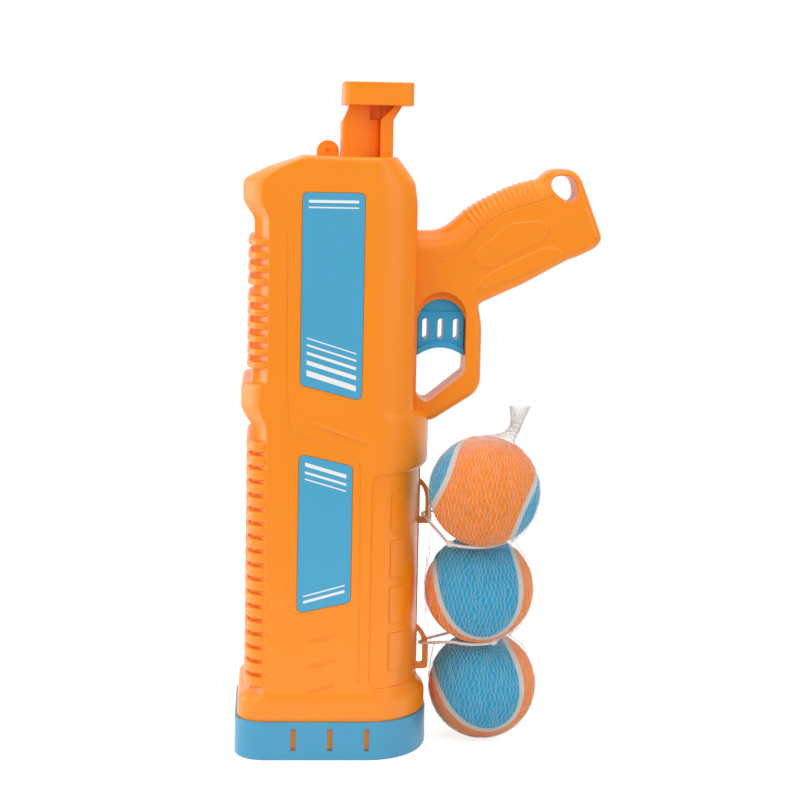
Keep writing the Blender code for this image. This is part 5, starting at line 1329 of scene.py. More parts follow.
def muzzle_ring():
    """The band round the muzzle, with its floor plate and slots."""
    top = RING_EDGE / 3
    levels = [(RING_EDGE * (1 - cos(turn)), RING_EDGE * (1 - sin(turn))) for turn in QUARTER_STEPS]
    levels += [(RING_HEIGHT - top * (1 - sin(turn)), top * (1 - cos(turn))) for turn in QUARTER_STEPS]
    ring = loft([at_height(whole_outline(ring_plan(moved)), z) for z, moved in levels])
    hollow = slab(whole_outline(ring_plan(RING_WALL)), RING_FLOOR, RING_HEIGHT + OVERRUN)
    half = RING_SLOT_WIDTH / 2
    outside = RING_HALF_DEPTH + OVERRUN
    inside = RING_HALF_DEPTH - RING_WALL - GAP
    slots = []
    for near, far in ((-outside, -inside), (inside, outside)):
        slot = box(
            (RING_SLOT_FIRST - half, near, RING_SLOT_LOW),
            (RING_SLOT_FIRST + half, far, RING_SLOT_LOW + RING_SLOT_HEIGHT),
        )
        slots.append(row(slot, RING_SLOTS, x=RING_SLOT_PITCH))
    return cut(ring, hollow, bore_bar(BORE_R, -OVERRUN, RING_FLOOR + OVERRUN), group(*slots))


def ball_retainer():
    """The soft ring behind the muzzle, whose fingers hold a ball in."""
    high = RETAINER_LOW + RETAINER_THICK
    disc = bore_bar(BARREL_R, RETAINER_LOW, high)
    inside = []
    for finger in range(RETAINER_FINGERS):
        for share, out in FINGER_SHARES:
            angle = (finger + share) * 2 * pi / RETAINER_FINGERS
            reach = fraction(BALL_R - RETAINER_BITE, BORE_R, out)
            inside.append((BORE_X + reach * cos(angle), reach * sin(angle)))
    cut(disc, slab(eased(inside, RING_EDGE, closed=True), RETAINER_LOW - OVERRUN, high + OVERRUN))
    return softened(disc, RETAINER_EDGE)


def barrel_tube():
    """The smooth tube that the ball and the plunger run in, with a softened lip."""
    return turned([
        (BARREL_R, BARREL_TOP), (BARREL_R, BARREL_LOW), (BORE_R + BARREL_LIP, BARREL_LOW),
        (BORE_R, BARREL_LOW + BARREL_LIP), (BORE_R, BARREL_TOP),
    ])


def plunger_buffer():
    """The foam pad on the face of the plunger."""
    low = CHAMBER_TOP + GAP
    high = low + BUFFER_THICK
    return turned([
        (0.0, high), (BUFFER_R, high), (BUFFER_R, low + BUFFER_EDGE), (BUFFER_R - BUFFER_EDGE, low),
        (0.0, low),
    ])


def plunger_seal():
    """The soft ring round the plunger, with softened lips."""
    low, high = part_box("plunger_seal")
    outer = (high.x - low.x) / 2
    inner = outer - SEAL_THICK
    foot = low.z - SHIFT.z
    top = high.z - SHIFT.z
    return softened(turned([(outer, top), (outer, foot), (inner, foot), (inner, top)]), SEAL_EDGE)


def coil_spring(node_name, x, radius, wire_r, turns):
    """A compression spring of round wire with closed ends, as high as its CAD node."""
    low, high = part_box(node_name)
    foot = low.z - SHIFT.z + wire_r
    rise = high.z - SHIFT.z - wire_r - foot
    close = 2 * wire_r
    points = []
    for step in range(turns * SPRING_TURN_STEPS + 1):
        turn = step / SPRING_TURN_STEPS
        ends = min(turn, 1.0) + max(turn - turns + 1, 0.0)
        share = min(max((turn - 1) / (turns - 2), 0.0), 1.0)
        angle = 2 * pi * turn
        height = foot + close * ends + (rise - 2 * close) * share
        points.append((x + radius * cos(angle), radius * sin(angle), height))
    return tube(points, wire_r, sides=SPRING_SIDES)


def squashed(spring):
    """Give a spring a mesh of its own; it is not made to shorten."""
    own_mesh(spring)


def housing_screws():
    """The screws that close the housing, with their cross recesses."""
    top = SCREW_LENGTH + SCREW_HEAD
    screw = turned([
        (0.0, top), (SCREW_HEAD_R - SCREW_HEAD_DOME, top), (SCREW_HEAD_R, top - SCREW_HEAD_DOME),
        (SCREW_HEAD_R, SCREW_LENGTH), (SCREW_R, SCREW_LENGTH), (SCREW_R, SCREW_R), (0.0, 0.0),
    ], 0.0, SMALL_STEPS)
    reach = CROSS_LENGTH / 2
    half = CROSS_WIDTH / 2
    low = top - CROSS_DEPTH
    cross = box((-reach, -half, low), (reach, half, top + OVERRUN))
    cut(screw, join(cross, box((-half, -reach, low - GAP), (half, reach, top + 2 * OVERRUN))))
    screw.data.transform(Matrix.Rotation(-pi / 2, 4, "X"))
    return scattered(screw, [(x, SCREW_SEAT - SCREW_LENGTH, z) for x, z, _ in screw_places()])


def scattered(item, places):
    """One object with a copy of an item at each place."""
    mesh = bpy.data.meshes.new("places")
    mesh.from_pydata(places, [], [])
    tree, given = geometry_tree("scattered", {})
    tool = node(tree, "GeometryNodeObjectInfo", {"Object": item})
    copies = node(
        tree, "GeometryNodeInstanceOnPoints",
        {"Points": given["Geometry"], "Instance": tool.outputs["Geometry"]},
    )
    coated_output(tree, copies.outputs[0], ZINC_STEEL)
    copied = grown(link(mesh), tree, {})
    bpy.data.objects.remove(item)
    return copied


def cocking_handle():
    """The pull: a folded stem with a rib along its grip side, a gusset, and the cross bar."""
    into_bar = BAR_LOW + GUSSET_REACH
    fold = STEM_RIB_LEFT + STEP
    section = [
        (STEM_LEFT, 0.0), (STEM_LEFT, -STEM_WEB_HALF), (STEM_FOLD, -STEM_WEB_HALF), (fold, -STEM_WEB_THIN),
        (fold, 0.0),
    ]
    near = eased(section, STEM_CORNER, EDGE_STEPS)[1:-1]
    web = slab(near + [(x, -y) for x, y in reversed(near)], STEM_FOOT, into_bar)
    shoulder = STEM_LEFT + STEM_NECK_SET
    neck = eased([
        (STEM_LEFT - OVERRUN, BAR_LOW - STEM_NECK), (STEM_LEFT, BAR_LOW - STEM_NECK), (shoulder, BAR_LOW),
        (shoulder, into_bar + OVERRUN),
    ], STEM_EASE, EDGE_STEPS)[1:-1]
    foot = STEM_FOOT - OVERRUN
    neck = [(STEM_LEFT - OVERRUN, foot), (STEM_LEFT - OVERRUN, BAR_LOW - STEM_NECK)] + neck
    neck += [(shoulder, into_bar + OVERRUN), (STEM_RIB_RIGHT, into_bar + OVERRUN), (STEM_RIB_RIGHT, foot)]
    combine(web, plate(neck, -BAR_HALF, BAR_HALF), "INTERSECT")
    low = BAR_LOW - GUSSET_RISE
    right = STEM_RIB_RIGHT + GUSSET_REACH
    left = right - GUSSET_WIDTH
    rib = [
        (STEM_RIB_LEFT, STEM_FOOT), (STEM_RIB_RIGHT, STEM_FOOT), (STEM_RIB_RIGHT, low), (right, BAR_LOW),
        (right, into_bar), (left, into_bar), (left, BAR_LOW), (STEM_RIB_LEFT, low),
    ]
    nook = rectangle(NOOK_LEFT, low, fold, BAR_LOW - STEP)
    inside = STEM_WEB_HALF - NOOK_DEPTH
    outside = STEM_WEB_HALF + OVERRUN
    cut(web, plate(nook, -outside, -inside), plate(nook, inside, outside))
    bar = filleted(rectangle(BAR_LEFT, -BAR_HALF, BAR_RIGHT, BAR_HALF), BAR_CORNER)
    join(
        web,
        box((STEM_RIB_LEFT - STEP, -NOOK_BACK_HALF, low), (left, NOOK_BACK_HALF, into_bar - STEP)),
        softened(plate(rib, -STEM_RIB_HALF, STEM_RIB_HALF), STEM_RIB_EDGE),
        softened(slab(bar, BAR_LOW, BAR_LOW + BAR_HEIGHT), BAR_EDGE),
    )
    socket = bore_bar(ROD_R + PIN_CLEARANCE, foot, STEM_FOOT + ROD_SOCKET_DEPTH, SMALL_STEPS)
    pin_z = STEM_FOOT + ROD_PIN_RISE
    return cut(web, socket, cross_bar(ROD_PIN_R + PIN_CLEARANCE, BORE_X, pin_z, -outside, outside))


def trigger():
    """The finger slide with its curved rim, stepped face, slots, ear and tongue."""
    low_edge = []
    for step in range(ARCH_STEPS + 1):
        share = step / ARCH_STEPS
        bow = TRIGGER_BOW * 4 * share * (1 - share)
        low_edge.append((fraction(TRIGGER_LEFT, TRIGGER_RIGHT, share), TRIGGER_LOW + bow))
    block = low_edge + [(TRIGGER_RIGHT, TRIGGER_STEP_Z), (TRIGGER_LEFT, TRIGGER_STEP_Z)]
    body = softened(plate(block, -TRIGGER_HALF, TRIGGER_HALF), STEM_RIB_EDGE)
    rim = low_edge + [(x, z + TRIGGER_RIM) for x, z in reversed(low_edge)]
    half = TRIGGER_HALF - TRIGGER_STEP_DEPTH
    ear_half = half - STEP
    tongue = arc((TONGUE_X, SEAR_TAIL_LOW - GAP - TONGUE_WIDTH / 2), TONGUE_WIDTH / 2)
    foot = TRIGGER_TOP - EAR_HEIGHT / 2
    tongue = [(TONGUE_X - TONGUE_WIDTH / 2, foot), (TONGUE_X + TONGUE_WIDTH / 2, foot)] + tongue
    join(
        body,
        softened(plate(rim, -TRIGGER_RIM_HALF, TRIGGER_RIM_HALF), TRIGGER_RIM_EDGE),
        box(
            (TRIGGER_LEFT + STEP, -half, TRIGGER_STEP_Z - TRIGGER_RIM),
            (TRIGGER_RIGHT - STEP, half, TRIGGER_TOP - STEP),
        ),
        box(
            (TRIGGER_X, -ear_half, TRIGGER_TOP - EAR_HEIGHT),
            (TRIGGER_RIGHT + EAR_REACH, ear_half, TRIGGER_TOP),
        ),
        plate(tongue, -TONGUE_HALF, TONGUE_HALF),
    )
    first = TRIGGER_X - (TRIGGER_SLOTS - 1) / 2 * TRIGGER_SLOT_PITCH
    radius = TRIGGER_SLOT_WIDTH / 2
    slot = arc((first, TRIGGER_SLOT_LOW + TRIGGER_SLOT_HEIGHT - radius), radius, steps=EDGE_STEPS)
    slot += arc((first, TRIGGER_SLOT_LOW + radius), radius, pi, 2 * pi, EDGE_STEPS)
    deep = TRIGGER_HALF + OVERRUN
    return cut(body, row(plate(slot, -deep, deep), TRIGGER_SLOTS, x=TRIGGER_SLOT_PITCH))


def label(outline, bars):
    """A thin panel with a softened edge, and plain slanting bars printed on it from edge to edge."""
    back = LABEL_SUNK - BODY_HALF_DEPTH - GAP
    face = back - LABEL_THICK
    levels = [(back, 0.0), (face + LABEL_EDGE, 0.0), (face, LABEL_EDGE)]
    film = loft([at_depth(inset(outline, moved), y) for y, moved in levels])
    left = min(x for x, _ in outline) + BAR_MARGIN
    right = max(x for x, _ in outline) - BAR_MARGIN
    printed = []
    for low_left, low_right, width in bars:
        corners = [(left, low_left), (right, low_right), (right, low_right + width), (left, low_left + width)]
        bar = plate(corners, face - BAR_INK, face + LABEL_EDGE)
        for polygon in bar.data.polygons:
            polygon.material_index = 1
        printed.append(bar)
    return group(film, *printed)


def ball_centres():
    """The three balls' centres, each resting against the one below."""
    spread = 2 * BALL_R + BALL_SPACE
    beside = LOWER_RIGHT + LOOP_REACH + NET_GAP + NET_SAG + NET_WALL + BALL_R
    places = [(beside + BALL_R * across, BALL_R * along) for across, along in BALL_SHIFT_SHARES]
    centres = [(*places[0], BALL_R + NET_GAP + NET_WALL + GAP)]
    for x, y in places[1:]:
        below = centres[-1]
        centres.append((x, y, below[2] + sqrt(spread ** 2 - hypot(x - below[0], y - below[1]) ** 2)))
    return centres


def camera_axes():
    """The camera's right, up and forward directions."""
    yaw = radians(CAMERA_YAW)
    tilt = radians(CAMERA_TILT)
    roll = radians(CAMERA_ROLL)
    forward = Vector((sin(yaw) * cos(tilt), cos(yaw) * cos(tilt), -sin(tilt)))
    level = forward.cross(Vector((0.0, 0.0, 1.0))).normalized()
    above = level.cross(forward)
    right = level * cos(roll) + above * sin(roll)
    up = above * cos(roll) - level * sin(roll)
    return right, up, forward


def seam_distance(direction, pole, along, across):
    """How far a place on a ball is from the seam, positive within the lobe round the pole."""
    high = direction.dot(pole)
    length = direction.dot(along)
    width = direction.dot(across)
    value = high - SEAM_WAIST * (width ** 2 - length ** 2) / 2
    slope = pole + along * (SEAM_WAIST * length) - across * (SEAM_WAIST * width)
    slope -= direction * slope.dot(direction)
    return BALL_R * value / max(slope.length, SEAM_SLOPE_FLOOR)


def tennis_ball(centre, turns):
    """A felt ball with its sunk seam, and the seam's distance kept for its colours."""
    tip, lean, side = turns
    right, up, forward = camera_axes()
    toward = -forward
    lift = right * cos(radians(lean)) + up * sin(radians(lean))
    pole = toward * cos(radians(tip)) + lift * sin(radians(tip))
    along = toward * sin(radians(tip)) - lift * cos(radians(tip))
    across = pole.cross(along)
    bm = bmesh.new()
    bmesh.ops.create_icosphere(bm, subdivisions=BALL_DETAIL, radius=1.0)
    layer = bm.verts.layers.float.new("seam")
    for vertex in bm.verts:
        direction = vertex.co.normalized()
        distance = seam_distance(direction, pole, along, across)
        vertex[layer] = distance * side / MM
        sink = SEAM_SINK * (1 - smooth_share(abs(distance), SEAM_HALF / 2, SEAM_HALF))
        nap = NAP_RISE * (noise.noise(direction * (BALL_R / NAP_SIZE)) - 1) / 2
        vertex.co = Vector(centre) + direction * (BALL_R - sink + nap)
    return from_bmesh(bm)


def necks():
    """The centre of each drawn-in place of the net, between two balls."""
    centres = ball_centres()
    places = []
    for low, high, share in zip(centres, centres[1:], NET_NECK_SHIFT_SHARES):
        x, y, z = [(start + end) / 2 for start, end in zip(low, high)]
        places.append((x + BALL_R * share, y, z))
    return places


def net_profile():
    """The rings that the net runs through, evenly spaced: a centre, a radius and how webbed it is."""
    centres = ball_centres()
    radius = BALL_R + NET_CLEAR
    x, y, z = centres[0]
    last = len(centres) - 1
    rings = [(x, y, z - BALL_R - NET_GAP, NET_FOOT_R, 0.0)]
    for index, (x, y, z) in enumerate(centres):
        for angle in NET_LATITUDES:
            turn = radians(angle)
            between = (angle < 0 and index > 0) or (angle > 0 and index < last)
            rings.append((x, y, z + radius * sin(turn), radius * cos(turn), 1.0 if between else 0.0))
        if index < last:
            rings.append((*necks()[index], NET_NECK_R, 1.0))
    low = z + BALL_R + NET_TAIL_LIFT
    rings += [
        (x + NET_TAIL_X, y, low, NET_TAIL_R, 0.0), (x + NET_TAIL_X, y, low + NET_TAIL_NECK, NET_TAIL_R, 0.0),
        (x + NET_FAN_X, y, low + NET_FAN_RISE, NET_FAN_R, 0.0),
    ]
    spaced = []
    for start, end in zip(rings, rings[1:]):
        length = hypot(end[2] - start[2], end[3] - start[3])
        count = max(round(length / NET_PITCH), 1)
        for step in range(count):
            spaced.append([fraction(a, b, step / count) for a, b in zip(start, end)])
    spaced.append(list(rings[-1]))
    for _ in range(NET_SMOOTHING):
        inner = zip(spaced, spaced[1:], spaced[2:])
        spaced[1:-1] = [[(a + 2 * b + c) / 4 for a, b, c in zip(*three)] for three in inner]
    return spaced


def net_reach(radius, web, angle):
    """How far the net stands out at one side: straight from ball to ball towards the loops."""
    facing = cos(angle - radians(NET_WEB_TURN))
    span = NET_WEB_SHARE if facing > 0 else NET_WEB_BACK_SHARE
    return fraction(radius, BALL_R + NET_CLEAR, web * span * abs(facing) ** NET_WEB_POWER)


def net_points():
    """The knots of the net, ring by ring, kept off the balls and a little uneven."""
    centres = [Vector(centre) for centre in ball_centres()]
    rows = []
    for level, (x, y, z, radius, web) in enumerate(net_profile()):
        knots = []
        for strand in range(NET_STRANDS):
            angle = 2 * pi * (strand + (level % 2) / 2) / NET_STRANDS
            reach = net_reach(radius, web, angle)
            place = Vector((x + reach * cos(angle), y + reach * sin(angle), z))
            stray = noise.noise_vector(place / NET_STRAY_SIZE) * NET_STRAY
            place += stray * min(radius / BALL_R, 1.0)
            for centre in centres:
                away = place - centre
                if away.length < BALL_R + NET_CLEAR:
                    place = centre + away.normalized() * (BALL_R + NET_CLEAR)
            knots.append(place)
        rows.append(knots)
    return rows


def net_sleeve():
    """The knotted net: diamonds of thin strands over the balls, gathered below and above."""
    rows = net_points()
    places = [knot for knots in rows for knot in knots]
    edges = []
    for level in range(len(rows) - 1):
        for strand in range(NET_STRANDS):
            side = strand + (1 if level % 2 else -1)
            here = level * NET_STRANDS + strand
            above = (level + 1) * NET_STRANDS
            edges += [(here, above + strand), (here, above + side % NET_STRANDS)]
    mesh = bpy.data.meshes.new("net lines")
    mesh.from_pydata(places, edges, [])
    sizes = {"Strand radius": NET_STRAND_R, "Knot radius": NET_KNOT_R}
    tree, given = geometry_tree("knotted net", sizes)
    lines = node(tree, "GeometryNodeMeshToCurve", {"Mesh": given["Geometry"]})
    ring = node(tree, "GeometryNodeCurvePrimitiveCircle", {
        "Resolution": NET_STRAND_SIDES, "Radius": given["Strand radius"],
    })
    strands = node(
        tree, "GeometryNodeCurveToMesh", {"Curve": lines.outputs[0], "Profile Curve": ring.outputs[0]}
    )
    size = given["Knot radius"]
    knot = node(tree, "GeometryNodeMeshCone", {
        "Vertices": NET_KNOT_SIDES, "Radius Top": 0.0, "Radius Bottom": size, "Depth": size,
    })
    knots = node(
        tree, "GeometryNodeInstanceOnPoints", {"Points": given["Geometry"], "Instance": knot.outputs["Mesh"]}
    )
    both = node(tree, "GeometryNodeJoinGeometry")
    for part in (strands, knots):
        tree.links.new(part.outputs[0], both.inputs[0])
    coated_output(tree, both.outputs[0], NET_PLASTIC)
    return grown(link(mesh), tree, sizes)


def tie(neck, height, head_steps):
    """A nylon tie from inside a sling loop round a neck of the net, with its square head."""
    start = Vector((LOWER_RIGHT + (LOOP_REACH - LOOP_BAR + GAP) / 2, 0.0))
    bend = start + Vector((TIE_BEND_R, 0.0))
    middle = Vector(neck[:2])
    turn_r = NET_NECK_R + NET_WALL + TIE_GAP + TIE_R
    between = middle - bend
    heading = atan2(between.y, between.x)
    side = acos((TIE_BEND_R - turn_r) / between.length)
    bend_points = arc(bend, TIE_BEND_R, heading + side, heading + 2 * pi - side, TIE_BEND_STEPS)
    turn_points = arc(middle, turn_r, heading - side, heading + side, TIE_TURN_STEPS)
    shares = [step / TIE_RUN_STEPS for step in range(1, TIE_RUN_STEPS)]
    run_out, run_back = [
        [Vector(first[-1]).lerp(Vector(last[0]), share) for share in shares]
        for first, last in ((bend_points, turn_points), (turn_points, bend_points))
    ]
    toward = between.normalized()
    level = (Vector(turn_points[0]) - start).dot(toward)
    points = []
    for place in bend_points + run_out + turn_points + run_back:
        share = min(max((Vector(place) - start).dot(toward) / level, 0.0), 1.0)
        high = fraction(height, neck[2], share)
        points.append(Vector((place[0], place[1], high + TIE_TILT * share * (place[1] - neck[1]))))
    strap = tube(points, TIE_R, closed=True, sides=TIE_SIDES)
    index = len(bend_points) + len(run_out) + head_steps
    turn = (points[index + 1] - points[index]).normalized().to_track_quat("Z", "Y").to_matrix().to_4x4()
    corner_place = Vector((TIE_HEAD_WIDTH, TIE_HEAD_WIDTH, TIE_HEAD_LENGTH)) / 2
    head = softened(box(-corner_place, corner_place), TIE_HEAD_EDGE)
    head.data.transform(Matrix.Translation(points[index]) @ turn)
    return join(strap, head)


# Finishes
SRGB_KNEE = 0.04045
SRGB_SLOPE = 12.92
SRGB_OFFSET = 0.055
SRGB_POWER = 2.4
ABS_IOR = 1.53
NYLON_IOR = 1.53
VINYL_IOR = 1.52
TONE_SIZE = 45.0 * MM
TONE_SHIFT = 0.04
# Orange peel is finer than this on the real thing, and would not show
PEEL_SIZE = 2.4 * MM
PEEL_RISE = 0.012 * MM
SCUFF_SIZE = 14.0 * MM
SCUFF_SHIFT = 0.07
EDGE_ROUND = 0.55 * MM
EDGE_SAMPLES = 4
# So are the fibres of the felt
FIBRE_SIZE = 0.75 * MM
FIBRE_RISE = 0.35 * MM
CLUMP_SIZE = 3.6 * MM
SEAM_FUZZ = 0.35
ABS_ROUGHNESS = 0.34
INNER_ABS_ROUGHNESS = 0.4
VINYL_ROUGHNESS = 0.42
INK_ROUGHNESS = 0.45
MILKY_ROUGHNESS = 0.35
FELT_ROUGHNESS = 0.92
FELT_SHEEN = 0.05
FELT_SHEEN_SPREAD = 0.5
CLUMP_LOW = 0.3
CLUMP_HIGH = 0.7
CLUMP_DARK = 0.9
CLUMP_BRIGHT = 1.08
MILKY_DEPTH = 0.3
ZINC_GLOSS = 0.22
ZINC_DULL = 0.42
RUBBER_ROUGHNESS = 0.72
FLOOR_GRAIN = 25.0 * MM
FLOOR_ROUGHNESS = 0.9


def colour(code):
    """The linear values of a colour written in sRGB hex."""
    linear = []
    for start in (1, 3, 5):
        value = int(code[start:start + 2], 16) / 255
        raised = ((value + SRGB_OFFSET) / (1 + SRGB_OFFSET)) ** SRGB_POWER
        linear.append(value / SRGB_SLOPE if value <= SRGB_KNEE else raised)
    return (*linear, 1.0)


def material(name):
    """A new material: its tree, its shader and its object coordinates."""
    made = bpy.data.materials.new(name)
    made.use_nodes = True
    tree = made.node_tree
    place = node(tree, "ShaderNodeTexCoord").outputs["Object"]
    return made, tree, tree.nodes["Principled BSDF"], place


def toned(name, base, other, size, detail):
    """A new material whose colour drifts between two tones, in patches of the given size."""
    made, tree, shader, place = material(name)
    patch = node(tree, "ShaderNodeTexNoise", {"Vector": place, "Scale": 1 / size, "Detail": detail})
    tone = node(tree, "ShaderNodeMix", {
        0: patch.outputs["Fac"], 6: colour(base), 7: colour(other),
    }, data_type="RGBA")
    feed(shader, {"Base Color": tone.outputs[2]})
    return made, tree, shader, place, patch.outputs["Fac"]


def moulded(name, base, deep, roughness=ABS_ROUGHNESS):
    """Injection-moulded ABS: even colour, soft gloss, a faint orange peel and rounded arrises."""
    made, tree, shader, place, _ = toned(name, base, deep, TONE_SIZE, 2.0)
    scuff = node(tree, "ShaderNodeTexNoise", {"Vector": place, "Scale": 1 / SCUFF_SIZE, "Detail": 4.0})
    dull = node(tree, "ShaderNodeMapRange", {
        "Value": scuff.outputs["Fac"], "To Min": roughness - SCUFF_SHIFT, "To Max": roughness + SCUFF_SHIFT,
    })
    peel = node(tree, "ShaderNodeTexNoise", {"Vector": place, "Scale": 1 / PEEL_SIZE, "Detail": 1.0})
    arris = node(tree, "ShaderNodeBevel", {"Radius": EDGE_ROUND}, samples=EDGE_SAMPLES)
    bump = node(tree, "ShaderNodeBump", {
        "Height": peel.outputs["Fac"], "Distance": PEEL_RISE, "Normal": arris.outputs[0],
    })
    feed(shader, {"Roughness": dull.outputs[0], "Normal": bump.outputs[0], "IOR": ABS_IOR})
    return made


def printed_vinyl(name, base, roughness):
    """Satin vinyl film or its ink: flat colour with a fine, even tooth."""
    made, tree, shader, place = material(name)
    deep = (*[value * (1 - TONE_SHIFT) for value in colour(base)[:3]], 1.0)
    tooth = node(tree, "ShaderNodeTexNoise", {"Vector": place, "Scale": 1 / PEEL_SIZE, "Detail": 3.0})
    tone = node(tree, "ShaderNodeMix", {0: tooth.outputs["Fac"], 6: colour(base), 7: deep}, data_type="RGBA")
    bump = node(tree, "ShaderNodeBump", {"Height": tooth.outputs["Fac"], "Distance": PEEL_RISE})
    feed(shader, {
        "Base Color": tone.outputs[2], "Normal": bump.outputs[0], "Roughness": roughness, "IOR": VINYL_IOR,
    })
    return made


def ball_felt(name, blue, orange, seam):
    """Needled ball felt: two dyed panels, pale rubber seam, short matted fibres that scatter light."""
    made, tree, shader, place = material(name)
    distance = node(tree, "ShaderNodeAttribute", attribute_name="seam").outputs["Fac"]
    fuzz = node(tree, "ShaderNodeTexNoise", {"Vector": place, "Scale": 1 / FIBRE_SIZE, "Detail": 2.0})
    stray = node(tree, "ShaderNodeMapRange", {
        "Value": fuzz.outputs["Fac"], "To Min": -SEAM_FUZZ, "To Max": SEAM_FUZZ,
    })
    edge = node(tree, "ShaderNodeMath", {0: distance, 1: stray.outputs[0]}, operation="ADD")
    is_blue = node(tree, "ShaderNodeMath", {0: edge.outputs[0], 1: 0.0}, operation="GREATER_THAN")
    panel = node(tree, "ShaderNodeMix", {
        0: is_blue.outputs[0], 6: colour(orange), 7: colour(blue),
    }, data_type="RGBA")
    clump = node(tree, "ShaderNodeTexNoise", {"Vector": place, "Scale": 1 / CLUMP_SIZE, "Detail": 5.0})
    shade = node(tree, "ShaderNodeMapRange", {
        "Value": clump.outputs["Fac"], "From Min": CLUMP_LOW, "From Max": CLUMP_HIGH,
        "To Min": CLUMP_DARK, "To Max": CLUMP_BRIGHT,
    })
    matted = node(tree, "ShaderNodeVectorMath", {
        0: panel.outputs[2], "Scale": shade.outputs[0],
    }, operation="SCALE")
    off = node(tree, "ShaderNodeMath", {0: edge.outputs[0]}, operation="ABSOLUTE")
    is_seam = node(tree, "ShaderNodeMapRange", {
        "Value": off.outputs[0], "From Min": SEAM_HALF / MM - SEAM_FUZZ, "From Max": SEAM_HALF / MM,
        "To Min": 1.0, "To Max": 0.0,
    })
    whole = node(tree, "ShaderNodeMix", {
        0: is_seam.outputs[0], 6: matted.outputs[0], 7: colour(seam),
    }, data_type="RGBA")
    height = node(tree, "ShaderNodeMath", {0: fuzz.outputs["Fac"], 1: clump.outputs["Fac"]}, operation="ADD")
    bump = node(tree, "ShaderNodeBump", {"Height": height.outputs[0], "Distance": FIBRE_RISE})
    feed(shader, {
        "Base Color": whole.outputs[2], "Normal": bump.outputs[0], "Roughness": FELT_ROUGHNESS,
        "Sheen Weight": FELT_SHEEN, "Sheen Roughness": FELT_SHEEN_SPREAD,
    })
    return made


def milky_plastic(name, base, pale):
    """Natural nylon or polyethylene: milky, slightly see-through, with a soft gloss."""
    made, _, shader, _, _ = toned(name, base, pale, CLUMP_SIZE, 2.0)
    feed(shader, {
        "Roughness": MILKY_ROUGHNESS, "IOR": NYLON_IOR,
        "Subsurface Weight": MILKY_DEPTH, "Subsurface Scale": TIE_R,
    })
    return made


def zinc_steel(name):
    """Bright zinc-plated steel: cool grey, with a slightly cloudy passivated film."""
    made, tree, shader, _, cloud = toned(name, "#C9CCD1", "#A9ADB4", CLUMP_SIZE, 3.0)
    dull = node(tree, "ShaderNodeMapRange", {"Value": cloud, "To Min": ZINC_GLOSS, "To Max": ZINC_DULL})
    feed(shader, {"Roughness": dull.outputs[0], "Metallic": 1.0})
    return made


def soft_rubber(name):
    """Black thermoplastic rubber: matt, with a pebbled skin."""
    made, tree, shader, place = material(name)
    pebble = node(tree, "ShaderNodeTexVoronoi", {"Vector": place, "Scale": 1 / PEEL_SIZE})
    tone = node(tree, "ShaderNodeMix", {
        0: pebble.outputs["Distance"], 6: colour("#2A2A2C"), 7: colour("#1C1C1E"),
    }, data_type="RGBA")
    bump = node(tree, "ShaderNodeBump", {"Height": pebble.outputs["Distance"], "Distance": PEEL_RISE})
    feed(shader, {"Base Color": tone.outputs[2], "Normal": bump.outputs[0], "Roughness": RUBBER_ROUGHNESS})
    return made


def finished(item, name, finishes, body, slot, *nodes):
    """Name a piece, set it down in the part's frame with its finishes, and let its body carry it."""
    item.name = name
    mesh = item.data
    mesh.name = name
    mesh.transform(Matrix.Translation(SHIFT))
    indices = [face.material_index for face in mesh.polygons]
    mesh.materials.clear()
    for finish in finishes:
        mesh.materials.append(finish)
    mesh.polygons.foreach_set("material_index", [min(index, len(finishes) - 1) for index in indices])
    mesh.shade_smooth()
    mesh.set_sharp_from_angle(angle=radians(SHARP_ANGLE))
    weighted = item.modifiers.new("Weighted", "WEIGHTED_NORMAL")
    weighted.keep_sharp = True
    item.data = evaluated_mesh(item)
    item.modifiers.clear()
    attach(item, body)
    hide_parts(*nodes)
    print(item.name, len(item.data.polygons), "faces")


def add_camera():
    """The camera at the photograph's angle."""
    right, up, forward = camera_axes()
    data = bpy.data.cameras.new("camera")
    data.lens = CAMERA_LENS
    data.sensor_width = CAMERA_SENSOR
    data.sensor_fit = "HORIZONTAL"
    data.clip_start = CAMERA_CLIP
    item = link(data, "camera")
    turn = Matrix((right, up, -forward)).transposed().to_4x4()
    item.matrix_world = Matrix.Translation(CAMERA_PLACE + SHIFT) @ turn
    bpy.context.scene.camera = item


def add_light(name, place, width, height, power):
    """A soft rectangular lamp, aimed at the launcher."""
    data = bpy.data.lights.new(name, "AREA")
    data.shape = "RECTANGLE"
    data.size = width
    data.size_y = height
    data.energy = power
    item = link(data, name)
    item.location = place
    item.rotation_euler = (Vector(LAMP_AIM) - Vector(place)).to_track_quat("-Z", "Y").to_euler()


def seen_ray(tree):
    """1 for the rays that see the floor itself, straight or in a shiny or clear surface."""
    ray = node(tree, "ShaderNodeLightPath").outputs
    seen = node(tree, "ShaderNodeMath", {
        0: ray["Is Camera Ray"], 1: ray["Is Transmission Ray"],
    }, operation="MAXIMUM")
    return node(tree, "ShaderNodeMath", {
        0: seen.outputs[0], 1: ray["Is Glossy Ray"],
    }, operation="MAXIMUM").outputs[0]


